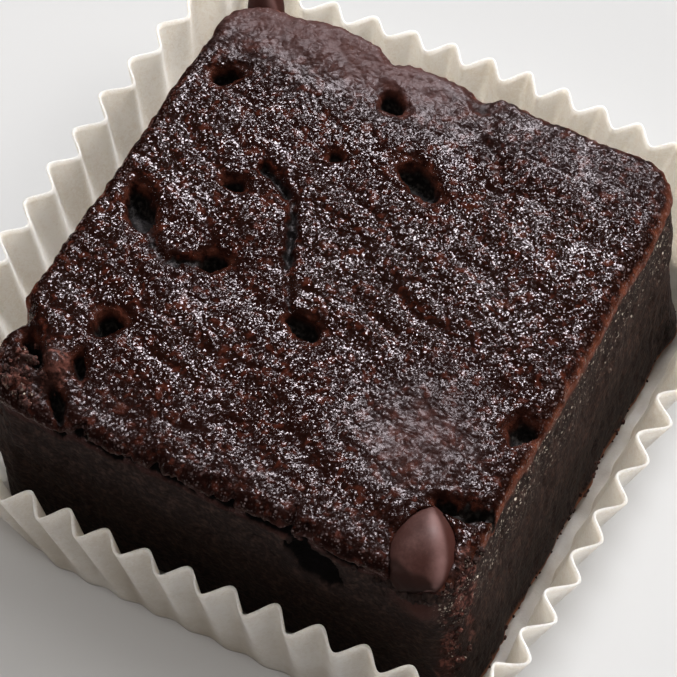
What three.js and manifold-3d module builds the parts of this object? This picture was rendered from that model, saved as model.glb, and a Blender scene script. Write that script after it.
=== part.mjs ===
// Square-cut chocolate cake in a fluted paper case. Millimetres, +Z up.
// The origin is on the underside of the paper case, at the middle of its rim.
import * as THREE from 'three';
import Module from 'manifold-3d';

const wasm = await Module();
wasm.setup();
const { Manifold, Mesh: ManifoldMesh } = wasm;

// Cake block: the cake's own middle is beside the middle of the case
const CAKE_X = 1.85;
const CAKE_Y = -3.7;
const CAKE_HALF_X = 29.2;
const CAKE_HALF_Y = 30.5;
const RIGHT_SIDE_IN = 0.6;
const CAKE_BOTTOM = 0.6;
const CAKE_TOP = 27.5;
const CORNER_LEFT_FRONT = 5.0;
const CORNER_RIGHT_FRONT = 3.6;
const CORNER_RIGHT_BACK = 5.2;
const CORNER_LEFT_BACK = 5.0;
const CRUST_EDGE_RADIUS = 1.7;
const FOOT_ROUND = 0.5;
const RIGHT_FOOT_SPREAD = 2.9;
const GRID_RINGS = 22;

// Crust relief
const SWELL_HEIGHT = 0.32;
const WRINKLE_HEIGHT = 0.2;
const WRINKLE_PITCH = 4.2;
const WRINKLE_TURN = -22;
const EDGE_SAG = 0.35;
const LIP_OUT = 0.3;
const GROOVE_IN = 0.75;
const GROOVE_HEIGHT = 24.9;
const CRUMB_SWELL = 0.35;

// Paper case: sides of the base and of the rim, measured from the middle of the rim
const PAPER_THICK = 0.3;
const PAPER_HEIGHT = 15.0;
// Corners run from the right back one round to the right front one, bulges from the right side round
const BASE_BOX = {
  left: -34.6,
  right: 34.7,
  front: -38.2,
  back: 34.4,
  corners: [10, 10, 19, 8],
  bulges: [0, 0, 0, 0],
};
const RIM_BOX = {
  left: -37.5,
  right: 38.0,
  front: -38.7,
  back: 37.9,
  corners: [9.5, 9.5, 11, 8],
  bulges: [1.2, 1.45, 1.25, 0.7],
};
const FLUTES = 53;
const FLUTE_STEPS = 6;
const FLUTE_DEPTH_RIM = 1.3;
const FLUTE_DEPTH_BASE = 0.3;
// How far the count of flutes runs ahead or behind, as waves round the case
const FLUTE_START = 0.61;
const FLUTE_DRIFT = [
  { waves: 1, sine: 0.09, cosine: 0.21 },
  { waves: 2, sine: -0.19, cosine: -0.21 },
  { waves: 3, sine: 0, cosine: 0.11 },
];
const FRONT_FAN = 2.2;
const RIM_UNEVEN = 0.2;
const RIM_SAG = { place: 0.625, reach: 0.09, drop: 1.3 };

// Chocolate chips: place of the base end, direction of the tip, length, half width, half thickness
const CHIP_GAP = 0.3;
const FRONT_CHIP = {
  base: [25.3, -30.1, 25.2],
  tip: [-0.35, 0.93, 0.19],
  length: 9.2,
  halfWidth: 3.75,
  halfThick: 2.9,
  widest: 0.4,
  endShare: 0.42,
};
const BACK_CHIP = {
  base: [-25.6, 30.3, 22.4],
  tip: [-0.2, 0.36, 0.91],
  length: 7.4,
  halfWidth: 2.2,
  halfThick: 2.0,
  widest: 0.36,
  endShare: 0.5,
};
const CHIP_RIDGE = { turn: 110, rise: 0.05, sharpness: 6 };
const CHIP_SEGMENTS = 16;
const CHIP_RINGS = 8;

const TAU = Math.PI * 2;
const DEG = Math.PI / 180;

function mix(a, b, t) {
  return a + (b - a) * t;
}

function clamp01(t) {
  return Math.min(1, Math.max(0, t));
}

function smooth(t) {
  const s = clamp01(t);
  return s * s * (3 - 2 * s);
}

// A soft bell of height 1 that is gone at the given radius
function bell(distance, radius) {
  return distance >= radius ? 0 : Math.pow(1 - (distance / radius) ** 2, 2);
}

// Uneven ground made of a few long waves that run in different directions, between -1 and 1
function swell(x, y, length, seed) {
  const waves = 5;
  let sum = 0;
  for (let i = 0; i < waves; i += 1) {
    const turn = seed + i * 2.4;
    const wave = length * (0.7 + 0.25 * i);
    sum += Math.sin((x * Math.cos(turn) + y * Math.sin(turn)) * TAU / wave + seed * 3.1 + i * 1.7);
  }
  return sum / waves;
}

// Distance from a point to a line through several points
function distanceToPath(x, y, path) {
  let best = Infinity;
  for (let i = 0; i + 1 < path.length; i += 1) {
    const [ax, ay] = path[i];
    const [bx, by] = path[i + 1];
    const dx = bx - ax;
    const dy = by - ay;
    const t = clamp01(((x - ax) * dx + (y - ay) * dy) / (dx * dx + dy * dy));
    best = Math.min(best, Math.hypot(x - ax - dx * t, y - ay - dy * t));
  }
  return best;
}

// Outline of a box with four rounded corners and sides that may bulge. place runs once round from the middle
// of the right side, and each eighth of it ends at the middle of a corner or of a side.
function roundedOutline(box, place) {
  const p = ((place % 1) + 1) % 1;
  const eighth = Math.min(7, Math.floor(p * 8));
  const t = p * 8 - eighth;
  const corners = [
    { x: box.right, y: box.back, r: box.corners[0], from: 0 },
    { x: box.left, y: box.back, r: box.corners[1], from: 90 },
    { x: box.left, y: box.front, r: box.corners[2], from: 180 },
    { x: box.right, y: box.front, r: box.corners[3], from: 270 },
  ];
  const corner = corners[Math.floor(eighth / 2)];
  const cx = corner.x - Math.sign(corner.x - (box.left + box.right) / 2) * corner.r;
  const cy = corner.y - Math.sign(corner.y - (box.front + box.back) / 2) * corner.r;
  const first = eighth % 2 === 0;
  const side = (first ? eighth / 2 : (eighth + 1) / 2) % 4;
  const sideMiddle = sideMiddleOf(box, side);
  const arcHalf = corner.r * Math.PI / 4;
  const turnAtSide = (corner.from + (first ? 0 : 90)) * DEG;
  const arcStart = [cx + corner.r * Math.cos(turnAtSide), cy + corner.r * Math.sin(turnAtSide)];
  const straight = Math.hypot(arcStart[0] - sideMiddle[0], arcStart[1] - sideMiddle[1]);
  const run = (first ? t : 1 - t) * (straight + arcHalf);
  if (run <= straight) {
    const s = run / straight;
    const nx = Math.cos(turnAtSide);
    const ny = Math.sin(turnAtSide);
    const bulge = box.bulges[side] * (1 - s * s);
    return {
      x: mix(sideMiddle[0], arcStart[0], s) + nx * bulge,
      y: mix(sideMiddle[1], arcStart[1], s) + ny * bulge,
      nx,
      ny,
    };
  }
  const swing = (run - straight) / corner.r * (first ? 1 : -1);
  const turn = turnAtSide + swing;
  return {
    x: cx + corner.r * Math.cos(turn),
    y: cy + corner.r * Math.sin(turn),
    nx: Math.cos(turn),
    ny: Math.sin(turn),
  };
}

function sideMiddleOf(box, side) {
  const mx = (box.left + box.right) / 2;
  const my = (box.front + box.back) / 2;
  return [[box.right, my], [mx, box.back], [box.left, my], [mx, box.front]][side];
}

// A closed solid from stacked rings of equal length, with a fan on the first and the last ring
function solidFromRings(rings, firstCentre, lastCentre) {
  const count = rings[0].length;
  const positions = [];
  const index = [];
  for (const ring of rings) {
    for (const point of ring) {
      positions.push(...point);
    }
  }
  const first = positions.length / 3;
  positions.push(...firstCentre, ...lastCentre);
  for (let i = 0; i < count; i += 1) {
    const next = (i + 1) % count;
    index.push(first, next, i);
    const top = (rings.length - 1) * count;
    index.push(first + 1, top + i, top + next);
  }
  for (let k = 0; k + 1 < rings.length; k += 1) {
    for (let i = 0; i < count; i += 1) {
      const next = (i + 1) % count;
      const a = k * count + i;
      const b = k * count + next;
      const c = (k + 1) * count + next;
      const d = (k + 1) * count + i;
      index.push(a, b, c, a, c, d);
    }
  }
  return indexedGeometry(positions, index);
}

function indexedGeometry(positions, index) {
  const geometry = new THREE.BufferGeometry();
  geometry.setAttribute('position', new THREE.Float32BufferAttribute(positions, 3));
  geometry.setIndex(index);
  return geometry;
}

function toManifold(geometry) {
  return new Manifold(new ManifoldMesh({
    numProp: 3,
    vertProperties: new Float32Array(geometry.getAttribute('position').array),
    triVerts: new Uint32Array(geometry.getIndex().array),
  }));
}

function fromManifold(solid) {
  const mesh = solid.getMesh();
  const positions = [];
  for (let i = 0; i < mesh.numVert; i += 1) {
    for (let c = 0; c < 3; c += 1) {
      positions.push(mesh.vertProperties[i * mesh.numProp + c]);
    }
  }
  return indexedGeometry(positions, Array.from(mesh.triVerts));
}

// Plan of the cake, about its own middle
const CAKE_PLAN = {
  left: -CAKE_HALF_X,
  right: CAKE_HALF_X - RIGHT_SIDE_IN,
  front: -CAKE_HALF_Y,
  back: CAKE_HALF_Y,
  corners: [CORNER_RIGHT_BACK, CORNER_LEFT_BACK, CORNER_LEFT_FRONT, CORNER_RIGHT_FRONT],
  bulges: [0, 0, 0, 0],
};

// Cracks and soft valleys in the crust, about the cake's middle
const LOBE_CRACK = {
  path: [[-15.6, 8.6], [-12.3, 8.1], [-8.9, 5.9], [-7.0, 2.2], [-5.6, -1.6], [-2.4, -6.8]],
  width: 1.3,
  depth: 0.9,
};
const LEFT_CRACK = {
  path: [[-21.5, -4.4], [-19.6, -6.7], [-17.8, -7.6], [-16.4, -7.0], [-13.1, -5.1]],
  width: 1.3,
  depth: 0.8,
};
const BACK_VALLEY = {
  path: [[3.0, 30.5], [6.9, 22.9], [9.4, 19.5], [11.5, 17.4]],
  width: 2.6,
  depth: 0.55,
};
const CHIP_CREVICE = {
  path: [[23.6, -21.0], [25.6, -20.8], [28.2, -20.0]],
  width: 1.4,
  depth: 0.9,
};
const CRACKS = [LOBE_CRACK, LEFT_CRACK, BACK_VALLEY, CHIP_CREVICE];

// Raised patches of crust
const LOBE = { x: -11.4, y: 2.4, radius: 7.0, rise: 0.6 };
const CRUMB_NUGGET = { x: -21.8, y: -25.2, radius: 2.5, rise: 1.5 };
const CORNER_LUMP = { x: -25.4, y: -26.4, radius: 3.0, rise: 0.8 };
const CHIP_SHOULDER = { x: 20.0, y: -24.0, radius: 4.0, rise: 0.3 };
const BACK_LEFT_RISE = { x: -17.0, y: 27.0, radius: 9.5, rise: 0.55 };
const RISES = [LOBE, CRUMB_NUGGET, CORNER_LUMP, CHIP_SHOULDER, BACK_LEFT_RISE];

// The left front corner has broken and sunk along a slanting line
const BROKEN_CORNER = { sum: -46.5, drop: 1.2, slope: 3.0 };

// Dents in the top edge, as seen from above. A negative depth stands out.
const EDGE_DENTS = [
  { x: -15.5, y: 30.5, radius: 8.0, depth: -0.65 },
  { x: -8.6, y: 30.5, radius: 2.2, depth: 0.7 },
  { x: 3.3, y: 30.5, radius: 2.2, depth: 0.5 },
  { x: -29.2, y: -20.5, radius: 2.6, depth: 0.9 },
  { x: -28.4, y: -28.6, radius: 5.0, depth: 1.1 },
  { x: 28.6, y: -8.0, radius: 2.4, depth: 0.35 },
];

// Burst bubbles and gaps: middle of the mouth, half length, half width, turn of the length in plan, depth
const PITS = [
  { name: 'back left hole', x: -24.6, y: 18.8, long: 1.75, wide: 1.3, turn: 25, deep: 2.6 },
  { name: 'back hole', x: -5.7, y: 24.1, long: 1.75, wide: 1.45, turn: -50, deep: 2.4 },
  { name: 'large hole', x: 2.2, y: 15.4, long: 2.9, wide: 1.7, turn: -25, deep: 2.4 },
  { name: 'lobe hole', x: -16.0, y: 5.3, long: 1.3, wide: 0.9, turn: 20, deep: 1.6 },
  { name: 'left hole', x: -23.9, y: -2.4, long: 2.9, wide: 1.7, turn: -52, deep: 2.4 },
  { name: 'crack end hole', x: -13.1, y: -5.1, long: 1.7, wide: 1.2, turn: 10, deep: 2.0 },
  { name: 'round hole', x: -19.3, y: -17.6, long: 1.75, wide: 1.55, turn: 27, deep: 2.8 },
  { name: 'middle hole', x: 0.1, y: -8.3, long: 2.2, wide: 1.25, turn: -20, deep: 2.2 },
  { name: 'right hole', x: 26.7, y: -8.9, long: 1.8, wide: 1.4, turn: 75, deep: 2.2 },
  { name: 'corner gap', x: -24.9, y: -24.0, long: 2.1, wide: 0.75, turn: -44, deep: 2.4 },
  { name: 'nugget gap', x: -19.2, y: -23.8, long: 1.9, wide: 0.6, turn: -60, deep: 2.0 },
  { name: 'edge gap', x: -19.1, y: -28.6, long: 2.0, wide: 0.7, turn: -50, deep: 2.0 },
];
const PIT_SEGMENTS = 10;
const PIT_RINGS = 4;
// Share of a pit's depth that its widest ring lies below the mouth
const PIT_WAIST = 0.35;

// The arched gap in the front side, the collar under the front chip and the lump at the right back foot
const FRONT_CAVITY = { x: 12.6, y: -30.8, z: 20.8, wide: 2.9, high: 3.2, deep: 1.7, flatFoot: 0.8 };
const CHIP_COLLAR = { x: 25.0, z: 21.6, radius: 2.6, out: 0.8 };
const FOOT_LUMP = { x: 28.5, y: 26.0, z: 3.0, radius: 4.5, out: 0.8 };

// Rings of the crust near its edge: distance in from the outline
const EDGE_STEPS = [0, 0.4, 1.1, 2.1];
// Rows down the side, from under the rounded edge to the foot
const SIDE_ROWS = [25.1, 24.3, 22.6, 18.0, 12.0, 6.0, 1.3];

function crackDepth(x, y) {
  let depth = 0;
  for (const crack of CRACKS) {
    depth += crack.depth * bell(distanceToPath(x, y, crack.path), crack.width);
  }
  return depth;
}

function riseHeight(x, y) {
  let height = 0;
  for (const rise of RISES) {
    height += rise.rise * bell(Math.hypot(x - rise.x, y - rise.y), rise.radius);
  }
  return height;
}

function dentDepth(x, y) {
  let depth = 0;
  for (const dent of EDGE_DENTS) {
    depth += dent.depth * bell(Math.hypot(x - dent.x, y - dent.y), dent.radius);
  }
  return depth;
}

// Wrinkles of the crust run across the cake in slanting rows that come and go
function wrinkle(x, y) {
  const across = -x * Math.sin(WRINKLE_TURN * DEG) + y * Math.cos(WRINKLE_TURN * DEG);
  const bend = 1.3 * swell(x, y, 11, 2.2);
  const share = 0.55 + 0.45 * swell(x, y, 14, 4.1);
  return WRINKLE_HEIGHT * share * Math.sin((across + bend) * TAU / WRINKLE_PITCH);
}

function crustHeight(x, y) {
  const edge = Math.max(Math.abs(x) / CAKE_HALF_X, Math.abs(y) / CAKE_HALF_Y);
  const sag = EDGE_SAG * smooth((edge - 0.7) / 0.3);
  const broken = BROKEN_CORNER.drop * smooth((BROKEN_CORNER.sum - x - y) / BROKEN_CORNER.slope);
  const ground = SWELL_HEIGHT * swell(x, y, 15, 1.3) + wrinkle(x, y);
  return CAKE_TOP - sag - broken + ground + riseHeight(x, y) - crackDepth(x, y) - 0.8 * dentDepth(x, y);
}

// How far the side stands out from the plan at a height, along the plan's normal
function sideRelief(x, y, z, nx, ny) {
  const crumb = CRUMB_SWELL * swell(x * ny - y * nx + 40 * nx, z * 1.4, 9, 0.6 + nx);
  const lip = LIP_OUT * bell(Math.abs(z - 25.8), 1.6);
  const frontFace = smooth((-ny - 0.7) / 0.25);
  const broken = 0.6 + 0.4 * Math.sin(x * 0.9 + 1.2 * Math.sin(x * 0.31));
  const grooveRun = smooth((x + 17) / 3) * smooth((22 - x) / 3);
  const groove = GROOVE_IN * frontFace * grooveRun * broken * bell(Math.abs(z - GROOVE_HEIGHT), 0.9);
  const collar = CHIP_COLLAR.out * bell(Math.hypot(x - CHIP_COLLAR.x, z - CHIP_COLLAR.z), CHIP_COLLAR.radius);
  const ragged = 0.4 * swell(x + z, y - z, 5, 3.3) * bell(z - CAKE_BOTTOM, 4);
  const lumpDistance = Math.hypot(x - FOOT_LUMP.x, y - FOOT_LUMP.y, z - FOOT_LUMP.z);
  const lump = FOOT_LUMP.out * bell(lumpDistance, FOOT_LUMP.radius);
  const dents = dentDepth(x, y) * smooth((z - 14) / 9);
  return crumb + lip - groove + collar * frontFace + ragged + lump - dents;
}

// The right side leans out towards its foot
function spreadFoot(x, z) {
  return x + RIGHT_FOOT_SPREAD * clamp01(1 - z / CAKE_TOP) * smooth(x / CAKE_HALF_X);
}

// Place on a square ring of the grid, run once round from the middle of the right side
function ringPlace(i, j, ring) {
  if (ring === 0) {
    return 0;
  }
  let step = 6 * ring + i;
  if (i === ring && j > -ring) {
    step = j;
  } else if (j === ring) {
    step = 2 * ring - i;
  } else if (i === -ring) {
    step = 4 * ring - j;
  }
  return (((step / (8 * ring)) % 1) + 1) % 1;
}

// Distance in from the outline for each ring: the outer ones follow the rounded edge
function ringInset(ring) {
  const fromEdge = GRID_RINGS - ring;
  if (fromEdge < EDGE_STEPS.length) {
    return EDGE_STEPS[fromEdge];
  }
  const last = EDGE_STEPS.length - 1;
  const share = (fromEdge - last) / (GRID_RINGS - last);
  return mix(EDGE_STEPS[last], CAKE_HALF_X, share);
}

function crustPoint(i, j) {
  const ring = Math.max(Math.abs(i), Math.abs(j));
  const inset = ringInset(ring);
  const edge = roundedOutline(CAKE_PLAN, ringPlace(i, j, ring));
  const relief = sideRelief(edge.x, edge.y, CAKE_TOP - CRUST_EDGE_RADIUS, edge.nx, edge.ny);
  const share = 1 - inset / CAKE_HALF_X;
  const out = relief * bell(inset, 4);
  const x = edge.x * share + edge.nx * out;
  const y = edge.y * share + edge.ny * out;
  const inRound = Math.max(0, CRUST_EDGE_RADIUS - inset);
  const fall = CRUST_EDGE_RADIUS - Math.sqrt(CRUST_EDGE_RADIUS ** 2 - inRound ** 2);
  const z = crustHeight(x, y) - fall;
  return [spreadFoot(x, z), y, z];
}

function sidePoint(place, z, inset) {
  const edge = roundedOutline(CAKE_PLAN, place);
  const drop = CAKE_TOP - crustHeight(edge.x, edge.y);
  const level = z - drop * smooth((z - 12) / 13);
  const out = sideRelief(edge.x, edge.y, z, edge.nx, edge.ny) - inset;
  return [spreadFoot(edge.x + edge.nx * out, level), edge.y + edge.ny * out, level];
}

// Two triangles for a quad, split along its shorter diagonal
function splitQuad(positions, index, a, b, c, d) {
  const ac = pointDistance(positions, a, c);
  const bd = pointDistance(positions, b, d);
  if (ac <= bd) {
    index.push(a, b, c, a, c, d);
  } else {
    index.push(a, b, d, b, c, d);
  }
}

function pointDistance(positions, a, b) {
  return Math.hypot(
    positions[a * 3] - positions[b * 3],
    positions[a * 3 + 1] - positions[b * 3 + 1],
    positions[a * 3 + 2] - positions[b * 3 + 2],
  );
}

// The whole block: a grid over the crust, rows down the side and a flat underside
function cakeBlock() {
  const span = GRID_RINGS * 2 + 1;
  const around = GRID_RINGS * 8;
  const positions = [];
  const index = [];
  const crustVertex = (i, j) => (j + GRID_RINGS) * span + i + GRID_RINGS;
  const rim = [];
  for (let j = -GRID_RINGS; j <= GRID_RINGS; j += 1) {
    for (let i = -GRID_RINGS; i <= GRID_RINGS; i += 1) {
      positions.push(...crustPoint(i, j));
      if (Math.max(Math.abs(i), Math.abs(j)) === GRID_RINGS) {
        rim[Math.round(ringPlace(i, j, GRID_RINGS) * around) % around] = crustVertex(i, j);
      }
    }
  }
  for (let j = -GRID_RINGS; j < GRID_RINGS; j += 1) {
    for (let i = -GRID_RINGS; i < GRID_RINGS; i += 1) {
      const a = crustVertex(i, j);
      const b = crustVertex(i + 1, j);
      splitQuad(positions, index, a, b, crustVertex(i + 1, j + 1), crustVertex(i, j + 1));
    }
  }
  let above = rim;
  const rows = SIDE_ROWS.map((z) => ({ z, inset: 0 }));
  rows.push({ z: CAKE_BOTTOM, inset: FOOT_ROUND });
  for (const row of rows) {
    const below = [];
    for (let k = 0; k < around; k += 1) {
      below.push(positions.length / 3);
      const point = sidePoint(k / around, row.z, row.inset);
      positions.push(point[0], point[1], row.inset > 0 ? CAKE_BOTTOM : point[2]);
    }
    for (let k = 0; k < around; k += 1) {
      const next = (k + 1) % around;
      splitQuad(positions, index, above[k], below[k], below[next], above[next]);
    }
    above = below;
  }
  const middle = positions.length / 3;
  positions.push(0, 0, CAKE_BOTTOM);
  for (let k = 0; k < around; k += 1) {
    index.push(middle, above[(k + 1) % around], above[k]);
  }
  return indexedGeometry(positions, index);
}

// A rounded hollow for one burst bubble, uneven round its mouth
function pitTool(pit) {
  const rings = [];
  const turn = pit.turn * DEG;
  const mouth = crustHeight(pit.x, pit.y);
  const middle = mouth - pit.deep * PIT_WAIST;
  const half = pit.deep * (1 - PIT_WAIST);
  for (let k = 1; k < PIT_RINGS * 2; k += 1) {
    const lift = -Math.cos(k / (PIT_RINGS * 2) * Math.PI);
    const girth = Math.sqrt(1 - lift * lift);
    const ring = [];
    for (let s = 0; s < PIT_SEGMENTS; s += 1) {
      const angle = s / PIT_SEGMENTS * TAU;
      const uneven = 1 + 0.12 * Math.sin(angle * 2 + pit.x) + 0.08 * Math.sin(angle * 3 + pit.y);
      const u = pit.long * girth * uneven * Math.cos(angle);
      const v = pit.wide * girth * uneven * Math.sin(angle);
      ring.push([
        pit.x + u * Math.cos(turn) - v * Math.sin(turn),
        pit.y + u * Math.sin(turn) + v * Math.cos(turn),
        middle + half * lift,
      ]);
    }
    rings.push(ring);
  }
  return solidFromRings(rings, [pit.x, pit.y, middle - half], [pit.x, pit.y, middle + half]);
}

// The arched gap low under the crust of the front side
function cavityTool() {
  const rings = [];
  for (let k = 1; k < PIT_RINGS * 2; k += 1) {
    const reach = -Math.cos(k / (PIT_RINGS * 2) * Math.PI);
    const girth = Math.sqrt(1 - reach * reach);
    const ring = [];
    for (let s = 0; s < PIT_SEGMENTS; s += 1) {
      const angle = s / PIT_SEGMENTS * TAU;
      const flat = Math.sin(angle) < 0 ? FRONT_CAVITY.flatFoot : 1;
      ring.push([
        FRONT_CAVITY.x + FRONT_CAVITY.wide * girth * Math.cos(angle),
        FRONT_CAVITY.y - FRONT_CAVITY.deep * reach,
        FRONT_CAVITY.z + FRONT_CAVITY.high * girth * flat * Math.sin(angle),
      ]);
    }
    rings.push(ring);
  }
  return solidFromRings(
    rings,
    [FRONT_CAVITY.x, FRONT_CAVITY.y + FRONT_CAVITY.deep, FRONT_CAVITY.z],
    [FRONT_CAVITY.x, FRONT_CAVITY.y - FRONT_CAVITY.deep, FRONT_CAVITY.z],
  );
}

// A chip is a softened drop: full near its base end, drawn in to a blunt tip.
// grow makes the same form larger all over, for the hollow that it sits in.
function chipGeometry(chip, grow) {
  const axis = new THREE.Vector3(...chip.tip).normalize();
  const side = new THREE.Vector3(0, 0, 1).cross(axis).normalize();
  const up = new THREE.Vector3().crossVectors(axis, side).normalize();
  const base = new THREE.Vector3(...chip.base).addScaledVector(axis, -grow);
  const length = chip.length + grow * 2;
  const rings = [];
  for (let k = 0; k < CHIP_RINGS; k += 1) {
    const along = Math.sin(k / CHIP_RINGS * Math.PI / 2);
    const girth = chipGirth(chip, along);
    const ring = [];
    for (let s = 0; s < CHIP_SEGMENTS; s += 1) {
      const angle = s / CHIP_SEGMENTS * TAU;
      const facing = Math.max(0, Math.cos(angle - CHIP_RIDGE.turn * DEG));
      const ridge = 1 + CHIP_RIDGE.rise * facing ** CHIP_RIDGE.sharpness;
      const point = base.clone()
        .addScaledVector(axis, along * length)
        .addScaledVector(side, (chip.halfWidth * girth * ridge + grow) * Math.cos(angle))
        .addScaledVector(up, (chip.halfThick * girth * ridge + grow) * Math.sin(angle));
      ring.push([point.x, point.y, point.z]);
    }
    rings.push(ring);
  }
  const tip = base.clone().addScaledVector(axis, length);
  return solidFromRings(rings, [base.x, base.y, base.z], [tip.x, tip.y, tip.z]);
}

// Share of the full girth at a share of the length
function chipGirth(chip, along) {
  if (along < chip.widest) {
    const t = along / chip.widest;
    return mix(chip.endShare, 1, Math.sqrt(1 - (1 - t) ** 2));
  }
  const t = (along - chip.widest) / (1 - chip.widest);
  return Math.pow(1 - t * t, 0.62);
}

// Height of the flutes' wave at a place in its run: rounded ridges with straighter flanks between
function fluteWave(turns) {
  const wave = Math.sin(turns * TAU);
  return wave * (1.15 - 0.15 * wave * wave);
}

// Count of flutes up to a place: they are not quite evenly spaced
function fluteTurns(place) {
  let turns = place * FLUTES + FLUTE_START;
  for (const drift of FLUTE_DRIFT) {
    const turn = place * TAU * drift.waves;
    turns += drift.sine * Math.sin(turn) + drift.cosine * Math.cos(turn);
  }
  return turns;
}

// The place of one column of the wall. Columns are evenly spaced in the wave, so every ridge gets one.
function columnPlace(column) {
  const turns = (column + 0.5) / FLUTE_STEPS;
  let place = turns / FLUTES;
  for (let i = 0; i < 12; i += 1) {
    place += (turns - fluteTurns(place)) / FLUTES;
  }
  return place;
}

// Middle line of the paper wall at a place round the case and a share of its height.
// The folds of the front wall fan to the left towards the rim.
function wallMiddle(place, share) {
  const base = roundedOutline(BASE_BOX, place);
  const rim = roundedOutline(RIM_BOX, place);
  const uneven = 0.95 + 0.1 * Math.sin(place * TAU * 9 + 0.7) + 0.07 * Math.sin(place * TAU * 23);
  const depth = mix(FLUTE_DEPTH_BASE, FLUTE_DEPTH_RIM * uneven, Math.pow(share, 0.8));
  const out = depth * fluteWave(fluteTurns(place));
  const fan = FRONT_FAN * smooth(-base.ny) * (1 - share);
  const nx = mix(base.nx, rim.nx, share);
  const ny = mix(base.ny, rim.ny, share);
  return [mix(base.x, rim.x, share) + nx * out + fan, mix(base.y, rim.y, share) + ny * out];
}

// The rim is a little uneven, and it sags at the left front corner
function rimLift(place) {
  const once = ((place % 1) + 1) % 1;
  const sag = RIM_SAG.drop * bell(Math.abs(once - RIM_SAG.place), RIM_SAG.reach);
  return RIM_UNEVEN * Math.sin(once * TAU * 5 + 1) - sag;
}

// One ring of the paper: the wall's middle line moved to its inner or outer face
function wallRing(share, z, toOutside) {
  const around = FLUTES * FLUTE_STEPS;
  const points = [];
  for (let k = 0; k < around; k += 1) {
    const place = columnPlace(k);
    const here = wallMiddle(place, share);
    const before = wallMiddle(columnPlace(k - 1), share);
    const after = wallMiddle(columnPlace(k + 1), share);
    const dx = after[0] - before[0];
    const dy = after[1] - before[1];
    const length = Math.hypot(dx, dy);
    const step = toOutside * PAPER_THICK / 2;
    points.push([here[0] + dy / length * step, here[1] - dx / length * step, z + rimLift(place) * share]);
  }
  return points;
}

// The case is one sheet: floor, crease, fluted wall and cut rim
function paperCase() {
  const midShare = 0.5;
  const outer = [
    wallRing(0, 0, 1),
    wallRing(midShare, PAPER_HEIGHT * midShare, 1),
    wallRing(1, PAPER_HEIGHT, 1),
  ];
  const inner = [
    wallRing(1, PAPER_HEIGHT, -1),
    wallRing(midShare, PAPER_HEIGHT * midShare, -1),
    wallRing(PAPER_THICK / PAPER_HEIGHT, PAPER_THICK, -1),
  ];
  return solidFromRings([...outer, ...inner], [0, 0, 0], [0, 0, PAPER_THICK]);
}

// Cake block less the hollows for the chips, the burst bubbles and the gap in the front
function cakeGeometry() {
  let solid = toManifold(cakeBlock());
  for (const pit of PITS) {
    solid = solid.subtract(toManifold(pitTool(pit)));
  }
  solid = solid.subtract(toManifold(cavityTool()));
  solid = solid.subtract(toManifold(chipGeometry(FRONT_CHIP, CHIP_GAP)));
  solid = solid.subtract(toManifold(chipGeometry(BACK_CHIP, CHIP_GAP)));
  return fromManifold(solid.simplify(0.02));
}

function addPart(group, name, geometry, color, roughness) {
  geometry.computeVertexNormals();
  const mesh = new THREE.Mesh(geometry, new THREE.MeshStandardMaterial({ color, roughness }));
  mesh.name = name;
  group.add(mesh);
}

const group = new THREE.Group();
group.name = 'chocolate_cake_in_case';
addPart(group, 'cake', cakeGeometry().translate(CAKE_X, CAKE_Y, 0), 0x2a1611, 0.5);
addPart(group, 'chip_front', chipGeometry(FRONT_CHIP, 0).translate(CAKE_X, CAKE_Y, 0), 0x5c3b37, 0.45);
addPart(group, 'chip_back', chipGeometry(BACK_CHIP, 0).translate(CAKE_X, CAKE_Y, 0), 0x5c3b37, 0.45);
addPart(group, 'paper_case', paperCase(), 0xd9d4c8, 0.8);

export default group;
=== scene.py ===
# %% [markdown]
# # A chocolate cake square in its fluted paper case
# This lesson dresses a square of dark chocolate cake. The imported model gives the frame: four closed
# solids in metres, the cake, two chocolate chips and the paper case. We keep their places and sizes and
# build a finer surface for each, because a crust like this is all small relief and small glints.

import math

import bmesh
import bpy
import numpy as np
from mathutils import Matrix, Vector, noise


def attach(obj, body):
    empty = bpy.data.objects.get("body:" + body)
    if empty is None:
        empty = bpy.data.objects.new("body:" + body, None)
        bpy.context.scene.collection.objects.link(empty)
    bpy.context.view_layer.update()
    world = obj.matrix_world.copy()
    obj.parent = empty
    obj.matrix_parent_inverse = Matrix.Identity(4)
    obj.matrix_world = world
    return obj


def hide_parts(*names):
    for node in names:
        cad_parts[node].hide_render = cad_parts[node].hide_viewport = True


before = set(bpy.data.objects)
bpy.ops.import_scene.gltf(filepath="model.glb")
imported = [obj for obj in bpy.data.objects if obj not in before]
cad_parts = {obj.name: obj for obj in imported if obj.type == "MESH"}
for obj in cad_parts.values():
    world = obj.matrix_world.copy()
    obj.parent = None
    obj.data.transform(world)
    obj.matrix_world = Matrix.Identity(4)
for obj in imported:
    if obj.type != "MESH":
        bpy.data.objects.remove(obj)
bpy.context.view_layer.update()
MM = 0.001
scene = bpy.context.scene

# %% [markdown]
# ## Camera
# The camera looks down steeply from the front right. A long lens from a third of a metre away keeps the
# sides of the block nearly parallel. Azimuth 0 would look along +Y, and elevation is above the horizon.

# %% camera
CAMERA_AZIMUTH, CAMERA_ELEVATION = 27.70, 56.69
CAMERA_DISTANCE = 327.7 * MM
CAMERA_AIM = Vector((1.76, -3.46, 13.5)) * MM
CAMERA_LENS, CAMERA_SENSOR = 151.6, 36.0


def hang(name, data, azimuth, elevation, distance, aim):
    """Puts a camera or a light at a distance from the point that it looks at."""
    turn, rise = math.radians(azimuth), math.radians(elevation)
    away = Vector((math.sin(turn) * math.cos(rise), -math.cos(turn) * math.cos(rise), math.sin(rise)))
    thing = bpy.data.objects.new(name, data)
    thing.location = aim + away * distance
    thing.rotation_euler = (-away).to_track_quat("-Z", "Y").to_euler()
    scene.collection.objects.link(thing)
    return thing


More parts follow.
